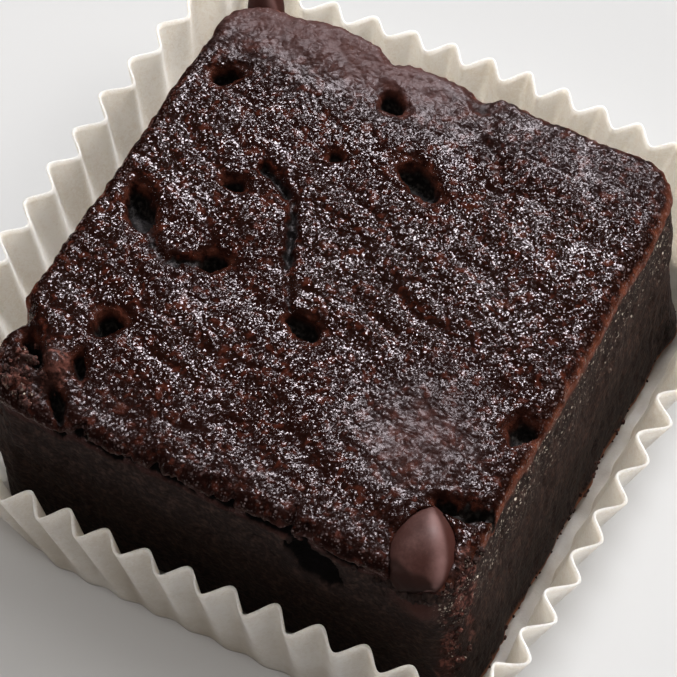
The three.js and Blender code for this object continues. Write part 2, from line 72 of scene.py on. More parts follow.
camera_data = bpy.data.cameras.new("camera")
camera_data.lens = CAMERA_LENS
camera_data.sensor_width = CAMERA_SENSOR
camera_data.clip_start = 0.01
camera_data.clip_end = 10.0
camera = hang("camera", camera_data, CAMERA_AZIMUTH, CAMERA_ELEVATION, CAMERA_DISTANCE, CAMERA_AIM)
scene.camera = camera
print("camera at", [round(v / MM, 1) for v in camera.location])

# %% [markdown]
# ## Light
# The light comes from behind. The key light stands behind the cake, a little to the right, and throws the
# soft shadow at the front left. The glint light shows only as a mirror image in the sugar glaze, where
# every small facet that faces it throws a glint. The other lights show only on matt colour: a small one
# from the top, one from the right side, two weak fills, and a pale world round them all.

# %% lights
# Azimuth and elevation in degrees, distance and size in metres, power in watts, colour, what it shows in
LIGHTS = {
    "glint_light": (196, 41, 2.4, 0.60, 60.0, (0.96, 0.97, 1.0), "mirror"),
    "key_light": (174, 41, 2.4, 0.80, 57.0, (0.97, 0.98, 1.0), "matt"),
    "top_light": (20, 76, 0.9, 0.22, 0.8, (0.95, 0.97, 1.0), "matt"),
    "side_light": (125, 38, 1.5, 1.0, 11.5, (1.0, 0.97, 0.94), "matt"),
    "left_fill": (262, 26, 1.7, 2.0, 10.5, (1.0, 0.96, 0.91), "matt"),
    "front_fill": (10, 48, 1.4, 1.2, 1.45, (1.0, 0.80, 0.65), "matt"),
}
WORLD_COLOR = (1.0, 0.965, 0.925, 1.0)
WORLD_STRENGTH = 0.19

for light_name, (azimuth, elevation, distance, size, power, tint, shows_in) in LIGHTS.items():
    lamp = bpy.data.lights.new(light_name, "AREA")
    lamp.size = size
    lamp.energy = power
    lamp.color = tint
    light = hang(light_name, lamp, azimuth, elevation, distance, Vector())
    light.visible_glossy = shows_in == "mirror"
    light.visible_diffuse = shows_in == "matt"
world = bpy.data.worlds.new("pale_world")
world.use_nodes = True
world.node_tree.nodes["Background"].inputs["Color"].default_value = WORLD_COLOR
world.node_tree.nodes["Background"].inputs["Strength"].default_value = WORLD_STRENGTH
scene.world = world
world.cycles_visibility.glossy = False
scene.view_settings.view_transform = "Standard"
print("lights:", sorted(LIGHTS))

# %% [markdown]
# ## Small tools for shape
# All shapes here are worked out in millimetres and turned into metres at the end. `smooth` is an eased
# step, `bell` a soft bump, `dome` a round hollow, `swell` an uneven ground of a few long waves, and `grain`
# is a random but repeatable noise that reads the place of each vertex.

# %% shape helpers
TAU = math.tau


def mix(a, b, t):
    return a + (b - a) * t


def smooth(t):
    s = np.clip(t, 0, 1)
    return s * s * (3 - 2 * s)


def bell(distance, radius):
    return np.where(distance >= radius, 0.0, (1 - np.minimum(distance / radius, 1) ** 2) ** 2)


def dome(reach):
    """A round hollow: 1 in its middle and 0 from a reach of 1 on."""
    return np.sqrt(np.clip(1 - reach ** 2, 0, 1))


def swell(x, y, length, seed):
    waves = 5
    total = 0.0
    for i in range(waves):
        turn = seed + i * 2.4
        wave = length * (0.7 + 0.25 * i)
        along = x * np.cos(turn) + y * np.sin(turn)
        total = total + np.sin(along * TAU / wave + seed * 3.1 + i * 1.7)
    return total / waves


def grain(points, size, seed):
    """Noise between about -1 and 1 at each point, with features of a given size."""
    scale = 1.0 / np.broadcast_to(np.asarray(size, float), (3,))
    places = points * scale + np.array((seed, seed * 1.7, seed * 0.3))
    return np.array([noise.noise(Vector(p)) for p in places.tolist()])


def distance_to_path(x, y, path):
    best = np.full(np.shape(x), np.inf)
    for (ax, ay), (bx, by) in zip(path, path[1:]):
        dx, dy = bx - ax, by - ay
        t = np.clip(((x - ax) * dx + (y - ay) * dy) / (dx * dx + dy * dy), 0, 1)
        best = np.minimum(best, np.hypot(x - ax - dx * t, y - ay - dy * t))
    return best


def rounded_outline(box, place):
    """Points and normals on a box with round corners. Place 0 is the middle of the right side."""
    p = np.mod(place, 1.0)
    eighth = np.minimum(7, np.floor(p * 8).astype(int))
    t = p * 8 - eighth
    corner = eighth // 2
    first = eighth % 2 == 0
    side = np.where(first, corner, (corner + 1) % 4)
    left, right, front, back = (box[name] for name in ("left", "right", "front", "back"))
    middle_x, middle_y = (left + right) / 2, (front + back) / 2
    x_of = np.array([right, left, left, right])[corner]
    y_of = np.array([back, back, front, front])[corner]
    r = np.array(box["corners"])[corner]
    cx = x_of - np.sign(x_of - middle_x) * r
    cy = y_of - np.sign(y_of - middle_y) * r
    side_x = np.array([right, middle_x, left, middle_x])[side]
    side_y = np.array([middle_y, back, middle_y, front])[side]
    turn_at_side = (corner + np.where(first, 0, 1)) * (math.pi / 2)
    flat_nx, flat_ny = np.cos(turn_at_side), np.sin(turn_at_side)
    arc_x, arc_y = cx + r * flat_nx, cy + r * flat_ny
    straight = np.hypot(arc_x - side_x, arc_y - side_y)
    run = np.where(first, t, 1 - t) * (straight + r * math.pi / 4)
    s = np.minimum(run / straight, 1)
    bulge = np.array(box["bulges"])[side] * (1 - s * s)
    turn = turn_at_side + np.maximum(run - straight, 0) / r * np.where(first, 1, -1)
    on_flat = run <= straight
    x = np.where(on_flat, mix(side_x, arc_x, s) + flat_nx * bulge, cx + r * np.cos(turn))
    y = np.where(on_flat, mix(side_y, arc_y, s) + flat_ny * bulge, cy + r * np.sin(turn))
    return x, y, np.cos(turn), np.sin(turn)


# %% mesh helpers
def mesh_points(mesh):
    points = np.empty(len(mesh.vertices) * 3, np.float32)
    mesh.vertices.foreach_get("co", points)
    return points.reshape(-1, 3).astype(float)


def set_mesh_points(mesh, points):
    mesh.vertices.foreach_set("co", np.ascontiguousarray(points, np.float32).ravel())
    mesh.update()


def mesh_normals(mesh):
    normals = np.empty(len(mesh.vertices) * 3, np.float32)
    mesh.vertex_normals.foreach_get("vector", normals)
    return normals.reshape(-1, 3).astype(float)


def set_mask(mesh, name, values):
    """Keeps one number for each vertex under a name that a material can read."""
    layer = mesh.attributes.new(name, "FLOAT", "POINT")
    layer.data.foreach_set("value", np.ascontiguousarray(values, np.float32))


def finish_piece(name, bm, replaced=None):
    """Turns a bmesh into a smooth shaded object, which may stand for a node of the frame."""
    mesh = bpy.data.meshes.new(name)
    bm.to_mesh(mesh)
    bm.free()
    mesh.polygons.foreach_set("use_smooth", [True] * len(mesh.polygons))
    piece = bpy.data.objects.new(name, mesh)
    scene.collection.objects.link(piece)
    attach(piece, "root")
    if replaced:
        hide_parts(replaced)
    return piece


def report_size(piece):
    points = mesh_points(piece.data)
    triangles = sum(len(p.vertices) - 2 for p in piece.data.polygons)
    low, high = points.min(0) / MM, points.max(0) / MM
    print(piece.name, triangles, "triangles,", low.round(2), "to", high.round(2))


def grow_row(bm, rim):
    """Extrudes a border by one row of faces, and gives the new vertices and the new border."""
    made = bmesh.ops.extrude_edge_only(bm, edges=rim)["geom"]
    grown = [v for v in made if isinstance(v, bmesh.types.BMVert)]
    return grown, [e for e in made if isinstance(e, bmesh.types.BMEdge) and e.is_boundary]


def close_mesh(bm, rim):
    bmesh.ops.holes_fill(bm, edges=rim, sides=0)
    bmesh.ops.recalc_face_normals(bm, faces=bm.faces)
    return bm


# %% [markdown]
# ## The form of the cake
# The block is a sheet cake cut square: straight sides, a thin crust that rounds over the edge, burst
# bubbles, short cracks and a corner that broke away. All but a few small ones are the solid's own sizes, in
# millimetres about the cake's own middle, so the fine surface lies on the solid.

# %% sizes of the cake
CAKE_X, CAKE_Y = 1.85, -3.7
CAKE_HALF_X, CAKE_HALF_Y = 29.2, 30.5
CAKE_BOTTOM, CAKE_TOP = 0.6, 27.5
CRUST_ROUND = 1.7
FOOT_ROUND = 0.5
RIGHT_FOOT_SPREAD = 2.9
CAKE_PLAN = {"left": -CAKE_HALF_X, "right": CAKE_HALF_X - 0.6, "front": -CAKE_HALF_Y, "back": CAKE_HALF_Y,
             "corners": [5.2, 5.0, 5.0, 3.6], "bulges": [0, 0, 0, 0]}

CRACKS = {
    "lobe": {"path": [(-14.0, 8.5), (-12.3, 8.1), (-8.9, 5.9), (-7.0, 2.2), (-5.6, -1.6)],
             "width": 0.9, "depth": 1.5},
    "lobe_tail": {"path": [(-5.6, -1.6), (-2.4, -6.8)], "width": 0.65, "depth": 0.5},
    "left": {"path": [(-21.5, -4.4), (-19.6, -6.7), (-17.8, -7.6), (-16.4, -7.0), (-13.1, -5.1)],
             "width": 1.3, "depth": 0.8},
    "back_valley": {"path": [(3.0, 30.5), (6.9, 22.9), (9.4, 19.5), (11.5, 17.4)],
                    "width": 2.6, "depth": 0.55},
    "chip_crevice": {"path": [(23.6, -21.0), (25.6, -20.8), (28.2, -20.0)], "width": 1.5, "depth": 1.3},
}
# Low hills of the crust: middle, radius, height
RISES = {
    "lobe": (-11.4, 2.4, 7.0, 0.6),
    "crumb_nugget": (-21.8, -25.2, 2.4, 1.9),
    "corner_lump": (-25.4, -26.4, 3.0, 0.8),
    "chip_shoulder": (20.0, -24.0, 4.0, 0.3),
    "back_left_rise": (-17.0, 27.0, 9.5, 0.55),
}
# Dents in the edge, and one swelling, with a depth below 0: middle, radius, depth
EDGE_DENTS = [
    (-15.5, 30.5, 8.0, -0.65), (-8.6, 30.5, 2.2, 0.7), (3.3, 30.5, 2.2, 0.5),
    (-29.2, -20.5, 2.6, 0.9), (-28.4, -28.6, 5.0, 1.1), (28.6, -8.0, 2.4, 0.35),
]
# Burst bubbles: middle of the mouth, half length, half width, turn in degrees, depth
PITS = {
    "back_left_hole": (-24.6, 18.8, 1.75, 1.3, 25, 2.6),
    "back_hole": (-5.7, 24.1, 1.75, 1.45, -50, 2.4),
    "large_hole": (2.2, 15.4, 2.9, 1.7, -25, 2.4),
    "lobe_hole": (-16.0, 5.3, 1.3, 0.9, 20, 1.6),
    "small_hole": (-7.8, 14.1, 1.0, 0.65, 10, 1.4),
    "left_hole": (-23.9, -2.4, 2.9, 1.7, -52, 2.4),
    "crack_end_hole": (-13.1, -5.1, 1.7, 1.2, 10, 2.0),
    "round_hole": (-19.3, -17.6, 1.75, 1.55, 27, 2.8),
    "middle_hole": (0.1, -8.3, 2.2, 1.25, -20, 2.2),
    "right_hole": (26.7, -8.9, 1.8, 1.4, 75, 2.2),
    "chip_hole_left": (23.7, -20.9, 1.5, 0.62, 12, 1.8),
    "chip_hole_right": (26.6, -20.3, 1.15, 0.7, 50, 1.8),
    "corner_gap": (-24.9, -24.0, 2.5, 0.95, -44, 2.8),
    "nugget_gap": (-19.2, -23.8, 1.9, 0.6, -60, 2.0),
    "edge_gap": (-19.1, -28.6, 2.0, 0.7, -50, 2.0),
}
PIT_RAGGED, PIT_RIM_SAG, PIT_RIM_REACH = 0.28, 0.35, 0.7
GROOVE_LEVEL, GROOVE_WIDTH, GROOVE_DEPTH = 24.9, 1.1, 1.5
FRONT_CAVITY = {"x": 12.6, "z": 20.8, "wide": 2.9, "high": 3.2, "deep": 1.7}
# The collar of crumb under the front chip: x, z, radius, how far it stands out
COLLAR = (25.0, 21.6, 2.6, 0.8)
# A lump at the foot of the back right corner: x, y, z, radius, how far it stands out
FOOT_LUMP = (28.5, 26, 3, 4.5, 0.8)
# The left corner broke away where x + y is below this line
BROKEN_LINE, BROKEN_DEPTH = -46.5, 1.2
print(len(CRACKS), "cracks,", len(PITS), "burst bubbles")

# %% [markdown]
# The chips are soft drops: full near the base end and drawn in to a blunt tip. The cake needs their form
# too, because it is hollowed where they sit.

# %% sizes of the chips
CHIP_GAP = 0.03
CHIPS = {
    "chip_front": {"base": (25.4, -30.6, 24.95), "tip": (-0.35, 0.93, 0.19), "length": 9.75, "lean": -0.5,
                   "half_width": 3.7, "half_thick": 2.9, "widest": 0.4, "end_share": 0.42, "deep_side": -1},
    "chip_back": {"base": (-25.6, 30.3, 22.4), "tip": (-0.2, 0.36, 0.91), "length": 7.35, "lean": 0.0,
                  "half_width": 2.2, "half_thick": 2.0, "widest": 0.36, "end_share": 0.5, "deep_side": 1},
}
CHIP_RIDGE_TURN, CHIP_RIDGE_TWIST = math.radians(93), 0.66
CHIP_RIDGE_RISE, CHIP_RIDGE_SHARPNESS = 0.15, 12


def chip_axes(chip):
    axis = np.array(chip["tip"]) / np.linalg.norm(chip["tip"])
    side = np.cross((0, 0, 1), axis)
    side /= np.linalg.norm(side)
    return axis, side, np.cross(axis, side)


def chip_girth(chip, along):
    """Share of the full girth at a share of the length."""
    t = np.clip(along / chip["widest"], 0, 1)
    base_end = mix(chip["end_share"], 1, np.sqrt(1 - (1 - t) ** 2))
    u = np.clip((along - chip["widest"]) / (1 - chip["widest"]), 0, 1)
    return np.where(along < chip["widest"], base_end, np.power(1 - u * u, 0.80))


def sink_round_chip(points, chip):
    """Pushes the points that lie in a chip, grown by its gap, to the deep side of the hollow it sits in."""
    axis, side, up = chip_axes(chip)
    deep = up * chip["deep_side"]
    base = np.array(chip["base"]) - axis * CHIP_GAP
    length = chip["length"] + CHIP_GAP * 2
    from_base = points - base
    along = from_base @ axis / length
    girth = chip_girth(chip, np.clip(along, 0, 1))
    wide = chip["half_width"] * girth + CHIP_GAP
    thick = chip["half_thick"] * girth + CHIP_GAP
    across, depth = from_base @ side - chip["lean"] * np.clip(along, 0, 1) ** 2, from_base @ deep
    inside = (along > 0) & (along < 1) & ((across / wide) ** 2 + (depth / thick) ** 2 < 1)
    level = np.arcsin(np.clip(depth / thick, -1, 1))
    half_here = np.maximum(wide * np.cos(level), 1e-6)
    t = np.clip(np.abs(across) / half_here, 0, 1)
    swing = mix(math.pi / 2, level, t)
    new_across = np.sign(across) * wide * np.cos(swing)
    new_depth = thick * np.sin(swing)
    move = np.outer(new_across - across, side) + np.outer(new_depth - depth, deep)
    return np.where(inside[:, None], points + move, points)


# %% [markdown]
# The crust's height is a plain function of the place in plan. Edges of cracks and holes on real crust are
# ragged, so the place is shaken a little by noise before the distance to them is measured.

# %% relief of the crust
FOLD_TURN = math.radians(-22)
WRINKLE_HEIGHT, WRINKLE_LENGTH = 0.13, 4.2
# Where the wrinkles are highest: middle, radius, by how much
WRINKLE_PLACE = (6, 2, 16, 0.5)
EDGE_SAG = 0.35


def crack_depth(x, y, shake):
    depth = np.zeros(np.shape(x))
    for crack in CRACKS.values():
        distance = distance_to_path(x + 1.1 * shake, y - 1.1 * shake, crack["path"])
        healed = 0.7 + 0.5 * swell(x, y, 4.5, 5.2) + 0.5 * shake
        depth += crack["depth"] * bell(distance, crack["width"]) * healed
    return depth


def bump(place, *point):
    """A soft bump at a place that holds its middle, radius and height."""
    *middle, radius, height = place
    return height * bell(np.sqrt(sum((p - m) ** 2 for p, m in zip(point, middle))), radius)


def bumps(x, y, places):
    return sum(bump(place, x, y) for place in places)


def pit_reach(x, y, pit, shake):
    """Distance from the middle of a burst bubble as a share of its mouth: 1 on the rim."""
    px, py, long, wide, turn, _ = pit
    c, s = math.cos(math.radians(turn)), math.sin(math.radians(turn))
    u = ((x - px) * c + (y - py) * s) / long
    v = (-(x - px) * s + (y - py) * c) / wide
    angle = np.arctan2(v, u)
    uneven = 1 + 0.12 * np.sin(angle * 2 + px) + 0.08 * np.sin(angle * 3 + py)
    return np.hypot(u, v) / uneven + PIT_RAGGED * shake


def burst_bubbles(x, y, shake):
    """How deep the burst bubbles go, and masks of their bowls and of their rims."""
    depth, bowls, rims = (np.zeros(np.shape(x)) for _ in range(3))
    for pit in PITS.values():
        reach = pit_reach(x, y, pit, shake)
        bowl = dome(reach)
        sunken = bell(np.maximum(reach - 1, 0), PIT_RIM_REACH)
        depth = depth + pit[5] * bowl + PIT_RIM_SAG * sunken
        bowls = np.maximum(bowls, bowl)
        rims = np.maximum(rims, bell(np.abs(reach - 1.05), 0.5))
    return depth, bowls, rims


def with_folds(x, y):
    """Places along and across the folds of the crust."""
    c, s = math.cos(FOLD_TURN), math.sin(FOLD_TURN)
    return x * c + y * s, y * c - x * s


def wrinkle(x, y):
    _, across = with_folds(x, y)
    bend = 1.3 * swell(x, y, 11, 2.2)
    share = 0.35 + 0.3 * swell(x, y, 14, 4.1) + bump(WRINKLE_PLACE, x, y)
    return WRINKLE_HEIGHT * share * np.sin((across + bend) * TAU / WRINKLE_LENGTH)


def crust_height(x, y, shake):
    edge = np.maximum(np.abs(x) / CAKE_HALF_X, np.abs(y) / CAKE_HALF_Y)
    sag = EDGE_SAG * smooth((edge - 0.7) / 0.3)
    broken = BROKEN_DEPTH * smooth((BROKEN_LINE - x - y) / 3.0)
    ground = 0.32 * swell(x, y, 15, 1.3) + wrinkle(x, y)
    hollows = crack_depth(x, y, shake) + 0.8 * bumps(x, y, EDGE_DENTS)
    return CAKE_TOP - sag - broken + ground + bumps(x, y, RISES.values()) - hollows


def on_front(ny):
    return smooth((-ny - 0.7) / 0.25)


def front_groove(x, z, ny, shake):
    """The broken crack under the lip of the crust on the front side, from 0 to 1."""
    line = GROOVE_LEVEL + 0.25 * np.sin(x * 0.7) + 0.15 * np.sin(x * 1.9 + 1) + 0.4 * shake
    line = line + 0.14 * np.sin(x * 5.1 + 2 * np.sin(x * 1.7))
    broken = smooth(0.75 + 0.5 * np.sin(x * 0.9 + 1.2 * np.sin(x * 0.31)) + 0.4 * np.sin(x * 2.7) + shake)
    run = smooth((x + 20) / 3) * smooth((20 - x) / 4)
    return on_front(ny) * run * broken * bell(np.abs(z - line), GROOVE_WIDTH)


def front_cavity(x, z, ny, shake):
    """The arched hollow in the front side, from 0 on its edge to 1 in its middle."""
    across = (x - FRONT_CAVITY["x"] + 0.35 * (z - FRONT_CAVITY["z"])) / FRONT_CAVITY["wide"]
    reach = np.hypot(across, (z - FRONT_CAVITY["z"]) / FRONT_CAVITY["high"]) + 0.35 * shake
    return on_front(ny) * dome(reach)


def side_relief(x, y, z, ny, shake):
    """How far the side stands out from the plan, along the plan's normal."""
    crumb = 0.35 * swell(x + 0.6 * z, y - 0.7 * z, 9, 0.6)
    lip = 0.3 * bell(np.abs(z - 26.0), 1.3)
    groove = GROOVE_DEPTH * front_groove(x, z, ny, shake)
    collar = bump(COLLAR, x, z) * on_front(ny)
    ragged = 0.4 * swell(x + z, y - z, 5, 3.3) * bell(np.abs(z - CAKE_BOTTOM), 4)
    lump = bump(FOOT_LUMP, x, y, z)
    dents = bumps(x, y, EDGE_DENTS) * smooth((z - 14) / 9)
    cavity = FRONT_CAVITY["deep"] * front_cavity(x, z, ny, shake)
    return crumb + lip - groove + collar + ragged + lump - dents - cavity


# %% [markdown]
# ## Modelling the block
# A grid gives the crust an even net of quads, which small relief needs. Its border is extruded downwards
# row by row for the sides, and the last border is filled for the underside. At this stage the block is a
# unit box: x and y run from -1 to 1 and z counts the rows. The next cell moves every vertex into place.

# %% grid and rows
CRUST_CELLS = 240
SIDE_ROWS = 42
ROW_CROWDING = 0.35
EDGE_LEVEL = CAKE_TOP - CRUST_ROUND


def unit_block():
    bm = bmesh.new()
    bmesh.ops.create_grid(bm, x_segments=CRUST_CELLS, y_segments=CRUST_CELLS, size=1.0)
    rim = [edge for edge in bm.edges if edge.is_boundary]
    for _ in range(SIDE_ROWS):
        lower, rim = grow_row(bm, rim)
        bmesh.ops.translate(bm, verts=lower, vec=(0, 0, -1))
    return close_mesh(bm, rim)


cake = finish_piece("chocolate_cake", unit_block(), "cake")
unit = mesh_points(cake.data)
print("unit block:", len(unit), "vertices")


# %% [markdown]
# Each square ring of the grid becomes one ring of the rounded plan. The outer rings follow the round of
# the crust's edge at even steps along its arc, so the net is as close there as on the flat.

# %% place the block
def ring_place(u, v):
    """Where on its ring a grid point lies, from 0 to 1 round from the middle of the right side."""
    ring = np.maximum(np.maximum(np.abs(u), np.abs(v)), 1e-9)
    a, b = u / ring, v / ring
    edge = 1 - 1e-5
    step = np.where((a > edge) & (b > -edge), b, 6 + a)
    step = np.where((b > edge) & (a < edge), 2 - a, step)
    step = np.where((a < -edge) & (b < edge), 4 - b, step)
    return np.mod(step / 8, 1.0)


def place_block(unit):
    """The places of the block's vertices, and masks of the edge, the holes and the sides."""
    u, v, row = unit[:, 0], unit[:, 1], -unit[:, 2]
    on_top = row < 0.5
    place = ring_place(u, v)
    ex, ey, nx, ny = rounded_outline(CAKE_PLAN, place)
    arc = CRUST_ROUND * math.pi / 2
    run = (1 - np.maximum(np.abs(u), np.abs(v))) * (arc + CAKE_HALF_X - CRUST_ROUND)
    bend = np.minimum(run / CRUST_ROUND, math.pi / 2)
    inset = np.where(run < arc, CRUST_ROUND * (1 - np.cos(bend)), CRUST_ROUND + run - arc)
    fall = CRUST_ROUND * (1 - np.sin(bend))
    share = 1 - inset / CAKE_HALF_X
    down = row / SIDE_ROWS
    z_side = mix(EDGE_LEVEL, CAKE_BOTTOM, mix(ROW_CROWDING * down, down, down))
    z_plan = np.where(on_top, CAKE_TOP - fall, z_side)
    x0, y0 = ex * share, ey * share
    shake = grain(np.stack([x0, y0, z_plan], -1), 1.1, 3.0)
    pit_depth, pit_mask, rim_mask = burst_bubbles(x0, y0, shake)
    height = crust_height(x0, y0, shake) - pit_depth
    crack_mask = smooth((crack_depth(x0, y0, shake) - 0.25) / 0.5) * on_top
    gap = np.maximum(front_groove(ex, z_side, ny, shake), front_cavity(ex, z_side, ny, shake)) * (1 - on_top)
    drop = CAKE_TOP - height
    level = np.where(on_top, height - fall, z_side - drop * smooth((z_side - 12) / 13))
    relief = side_relief(ex, ey, np.where(on_top, EDGE_LEVEL, z_side), ny, shake)
    foot = FOOT_ROUND * (1 - dome(np.clip((CAKE_BOTTOM + FOOT_ROUND - z_side) / FOOT_ROUND, 0, 1)))
    out = np.where(on_top, relief * bell(inset, 4), relief - foot)
    x, y = x0 + nx * out, y0 + ny * out
    x = x + RIGHT_FOOT_SPREAD * np.clip(1 - level / CAKE_TOP, 0, 1) * smooth(x / CAKE_HALF_X)
    points = np.stack([x, y, level], -1)
    for chip in CHIPS.values():
        points = sink_round_chip(points, chip)
    masks = {
        "inset": np.where(on_top, run, z_side - EDGE_LEVEL),
        "pit": np.maximum(pit_mask, 0.6 * crack_mask),
        "rim": rim_mask * on_top,
        "right": smooth((nx - 0.35) / 0.4),
        "front": smooth((-ny - 0.35) / 0.4),
        "gap": gap,
    }
    return points, masks


cake_points, cake_masks = place_block(unit)
set_mesh_points(cake.data, cake_points)
print("block placed:", cake_points.min(0).round(2), "to", cake_points.max(0).round(2))

# %% [markdown]
# ## Small relief
# Baked crust is a skin of beads, one or two millimetres wide, on longer folds, and cut crumb is a matt
# sponge with small pores. Both are pushed out along the vertex normals, so walls of holes get them too.

# %% beads, folds and pores
# Torn crumb: middle, radius, and how torn it is at the most
TORN_PLACES = {
    "broken_corner": (-22.6, -26.0, 5.6, 1.0),
    "beside_chip": (27.9, -26.6, 3.8, 1.0),
    "front_corner": (29.2, -30.5, 2.6, 0.8),
}


def crust_folds(points):
    """Pillows of the crust at 1 and the valleys between them at 0, drawn out to the front right."""
    along, across = with_folds(points[:, 0], points[:, 1])
    turned = np.stack([along, across, points[:, 2]], -1)
    return np.minimum(np.abs(grain(turned, (9.0, 4.2, 5.0), 7.0)) * 3.4, 1)


def crust_relief(points, folds):
    beads = np.abs(grain(points, 1.5, 11.0)) * 2 - 0.4
    fine = grain(points, 0.85, 19.0)
    return 0.09 * (folds - 0.7) + (0.10 * beads + 0.05 * fine) * (0.6 + 0.4 * folds)


def crumb_relief(points):
    sponge = grain(points, 2.1, 23.0)
    fine = grain(points, 0.95, 29.0)
    pores = smooth((grain(points, 1.5, 31.0) - 0.32) / 0.16)
    return 0.12 * sponge + 0.09 * fine - 0.22 * pores


inset, pit, front, right = (cake_masks[name] for name in ("inset", "pit", "front", "right"))
x_mm, y_mm, _ = cake_points.T
torn = np.maximum.reduce([bump(place, x_mm, y_mm) for place in TORN_PLACES.values()])
folds = crust_folds(cake_points)
crust_share = smooth((inset + 0.9) / 1.4) * (1 - 0.75 * pit)
relief = mix(crumb_relief(cake_points), crust_relief(cake_points, folds), crust_share)
rough_tear = 0.42 * grain(cake_points, 1.5, 41.0) + 0.25 * grain(cake_points, 0.75, 43.0)
relief = relief + torn * rough_tear * (1 - 0.8 * pit)
brow = bell(np.abs(inset - 0.9 + 0.6 * front), 2.8) * (1 - torn)
relief = relief + brow * 0.2 * grain(cake_points, 0.8, 51.0)
above_foot = smooth((cake_points[:, 2] - CAKE_BOTTOM) / 0.4)
cake_points = cake_points + mesh_normals(cake.data) * (relief * above_foot)[:, None]
cake_points[:, 2] = np.maximum(cake_points[:, 2], CAKE_BOTTOM)
set_mesh_points(cake.data, (cake_points + (CAKE_X, CAKE_Y, 0)) * MM)
report_size(cake)

# %% [markdown]
# The material asks the mesh where it is: on the crust, on its edge, in a hole, or on torn crumb. Each
# mask is one number for each vertex. `rust` is the band round the edge on the lit sides, and `lip` the one
# along the shaded front, where the same band is painted darker and more purple: painted shade. `brow` is
# the rough strip where the crust turns over, and `soft` the parts of the crust with a dull bloom, whose
# mauve colour is partly a painted haze of glints. `low` marks painted shade on the lower sides and the
# front, `pit` and `gap` mark holes and cracks, which are painted near black as shade, and the mask for the
# upper right side marks painted sparkles.

# %% masks for the material
# A dull patch of crust at the front right, and the collar's brown tint: middle, radius, strength
SOFT_PATCH = (18, -15, 13, 1)
COLLAR_TINT = (25.0, 21.5, 5.0, 1)

x_mm, y_mm, z_mm = cake_points.T
soft_back = smooth((y_mm - 16) / 14) * mix(1, 0.35, smooth((x_mm + 8) / 20))
soft_front = np.maximum(bump(SOFT_PATCH, x_mm, y_mm), 0.45 * smooth((-20 - y_mm) / 9))
SHOWN = {
    "crust": smooth((inset + 0.9 + 1.5 * front) / 0.9),
    # The edge band on the left, back and right sides, which are lit; the shaded front gets the lip below
    # instead
    "rust": bell(np.abs(inset), 2.5) * np.where(front > 0, right, 0.75),
    # The lip is the same edge band on the shaded front, painted darker and more purple: painted shade
    "lip": bell(np.abs(inset + 0.8), 2.4) * front,
    "brow": brow,
    "ridge": smooth((folds - 0.1) / 0.5),
    # Painted sparkles: pale dots standing in for glints on the upper part of the right side
    "painted_sparkle": smooth((z_mm - 14) / 10) * right * (inset < 0),
    "pit": pit,
    "gap": cake_masks["gap"],
    "foot": bell(np.abs(z_mm - CAKE_BOTTOM), 2.0) * right,
    "rim": cake_masks["rim"],
    # Painted shade: darker towards the bottom of the sides, and more on the front, which faces away from the
    # light
    "low": np.maximum(smooth((17 - z_mm) / 12), 0.5 * front * smooth((25 - z_mm) / 8)),
    "glaze": smooth((inset + 0.4 + 0.8 * front) / 1.4),
    "collar": bump(COLLAR_TINT, x_mm, z_mm) * front,
    "torn": torn,
    "soft": np.maximum(soft_back, 0.62 * soft_front),
}
for mask_name, values in SHOWN.items():
    set_mask(cake.data, mask_name, values)
print("masks:", sorted(SHOWN))

# %% [markdown]
# Crumbs cling where the cake broke or was cut: on the torn corner, round the front chip, down the corner
# below it and along the foot of the right side. Each is a small uneven ball, sunk into the cake round the
# vertex that it sits on.

# %% crumbs
# Middle, spread, how many, size from and to, how torn they look, and how many painted sparkles they carry
CRUMB_PLACES = {
    "torn_corner": ((-24.5, -27.0, 26.0), (3.6, 3.2, 1.5), 60, (0.20, 0.85), 0.7, 0.4),
    "corner_side": ((-28.0, -27.0, 22.5), (1.5, 4.0, 3.0), 30, (0.15, 0.50), 0.4, 0.0),
    "beside_chip": ((29.0, -27.0, 25.8), (1.2, 4.2, 1.2), 60, (0.15, 0.50), 0.6, 0.5),
    "under_chip": ((24.4, -31.0, 24.0), (4.2, 0.8, 0.7), 50, (0.30, 0.95), 0.2, 0.0),
    "front_corner": ((29.5, -29.5, 15.0), (1.0, 1.5, 9.5), 90, (0.12, 0.50), 0.7, 0.6),
    "right_foot": ((31.2, -2.0, 2.0), (0.6, 28.0, 1.2), 60, (0.16, 0.40), 0.4, 0.0),
}
CRUMB_SEED = 61


def make_crumbs():
    chance = np.random.default_rng(CRUMB_SEED)
    bm = bmesh.new()
    torn_layer = bm.verts.layers.float.new("torn")
    # Painted sparkles: pale dots standing in for glints on some crumbs
    sparkle_layer = bm.verts.layers.float.new("painted_sparkle")
    for middle, spread, count, sizes, torn_look, sparkle_look in CRUMB_PLACES.values():
        for _ in range(count):
            target = np.array(middle) + chance.normal(0, 0.5, 3) * spread
            nearest = np.argmin(((cake_points - target) ** 2).sum(1))
            size = mix(*sizes, chance.random() ** 3)
            seat = cake_points[nearest].copy()
            seat[2] = max(seat[2], CAKE_BOTTOM + size * 1.6)
            made = bmesh.ops.create_icosphere(bm, subdivisions=3, radius=1.0)["verts"]
            shake = Vector(chance.normal(0, 9, 3))
            stretch = chance.uniform(0.6, 1.15, 3) * size
            for vertex in made:
                lumps = noise.noise(vertex.co * 1.1 + shake)
                grit = noise.noise(vertex.co * 3.1 + shake)
                vertex.co = Vector(np.array(vertex.co) * stretch * (1 + 0.7 * lumps + 0.4 * grit) + seat)
                vertex[torn_layer] = torn_look
                vertex[sparkle_layer] = sparkle_look
    bmesh.ops.translate(bm, verts=bm.verts, vec=(CAKE_X, CAKE_Y, 0))
    bmesh.ops.scale(bm, verts=bm.verts, vec=(MM, MM, MM))
    return finish_piece("cake_crumbs", bm)


crumbs = make_crumbs()
report_size(crumbs)

# %% [markdown]
# ## Tools for materials
# `Signal` wraps a socket, so that node maths reads like plain maths and the materials below like recipes.

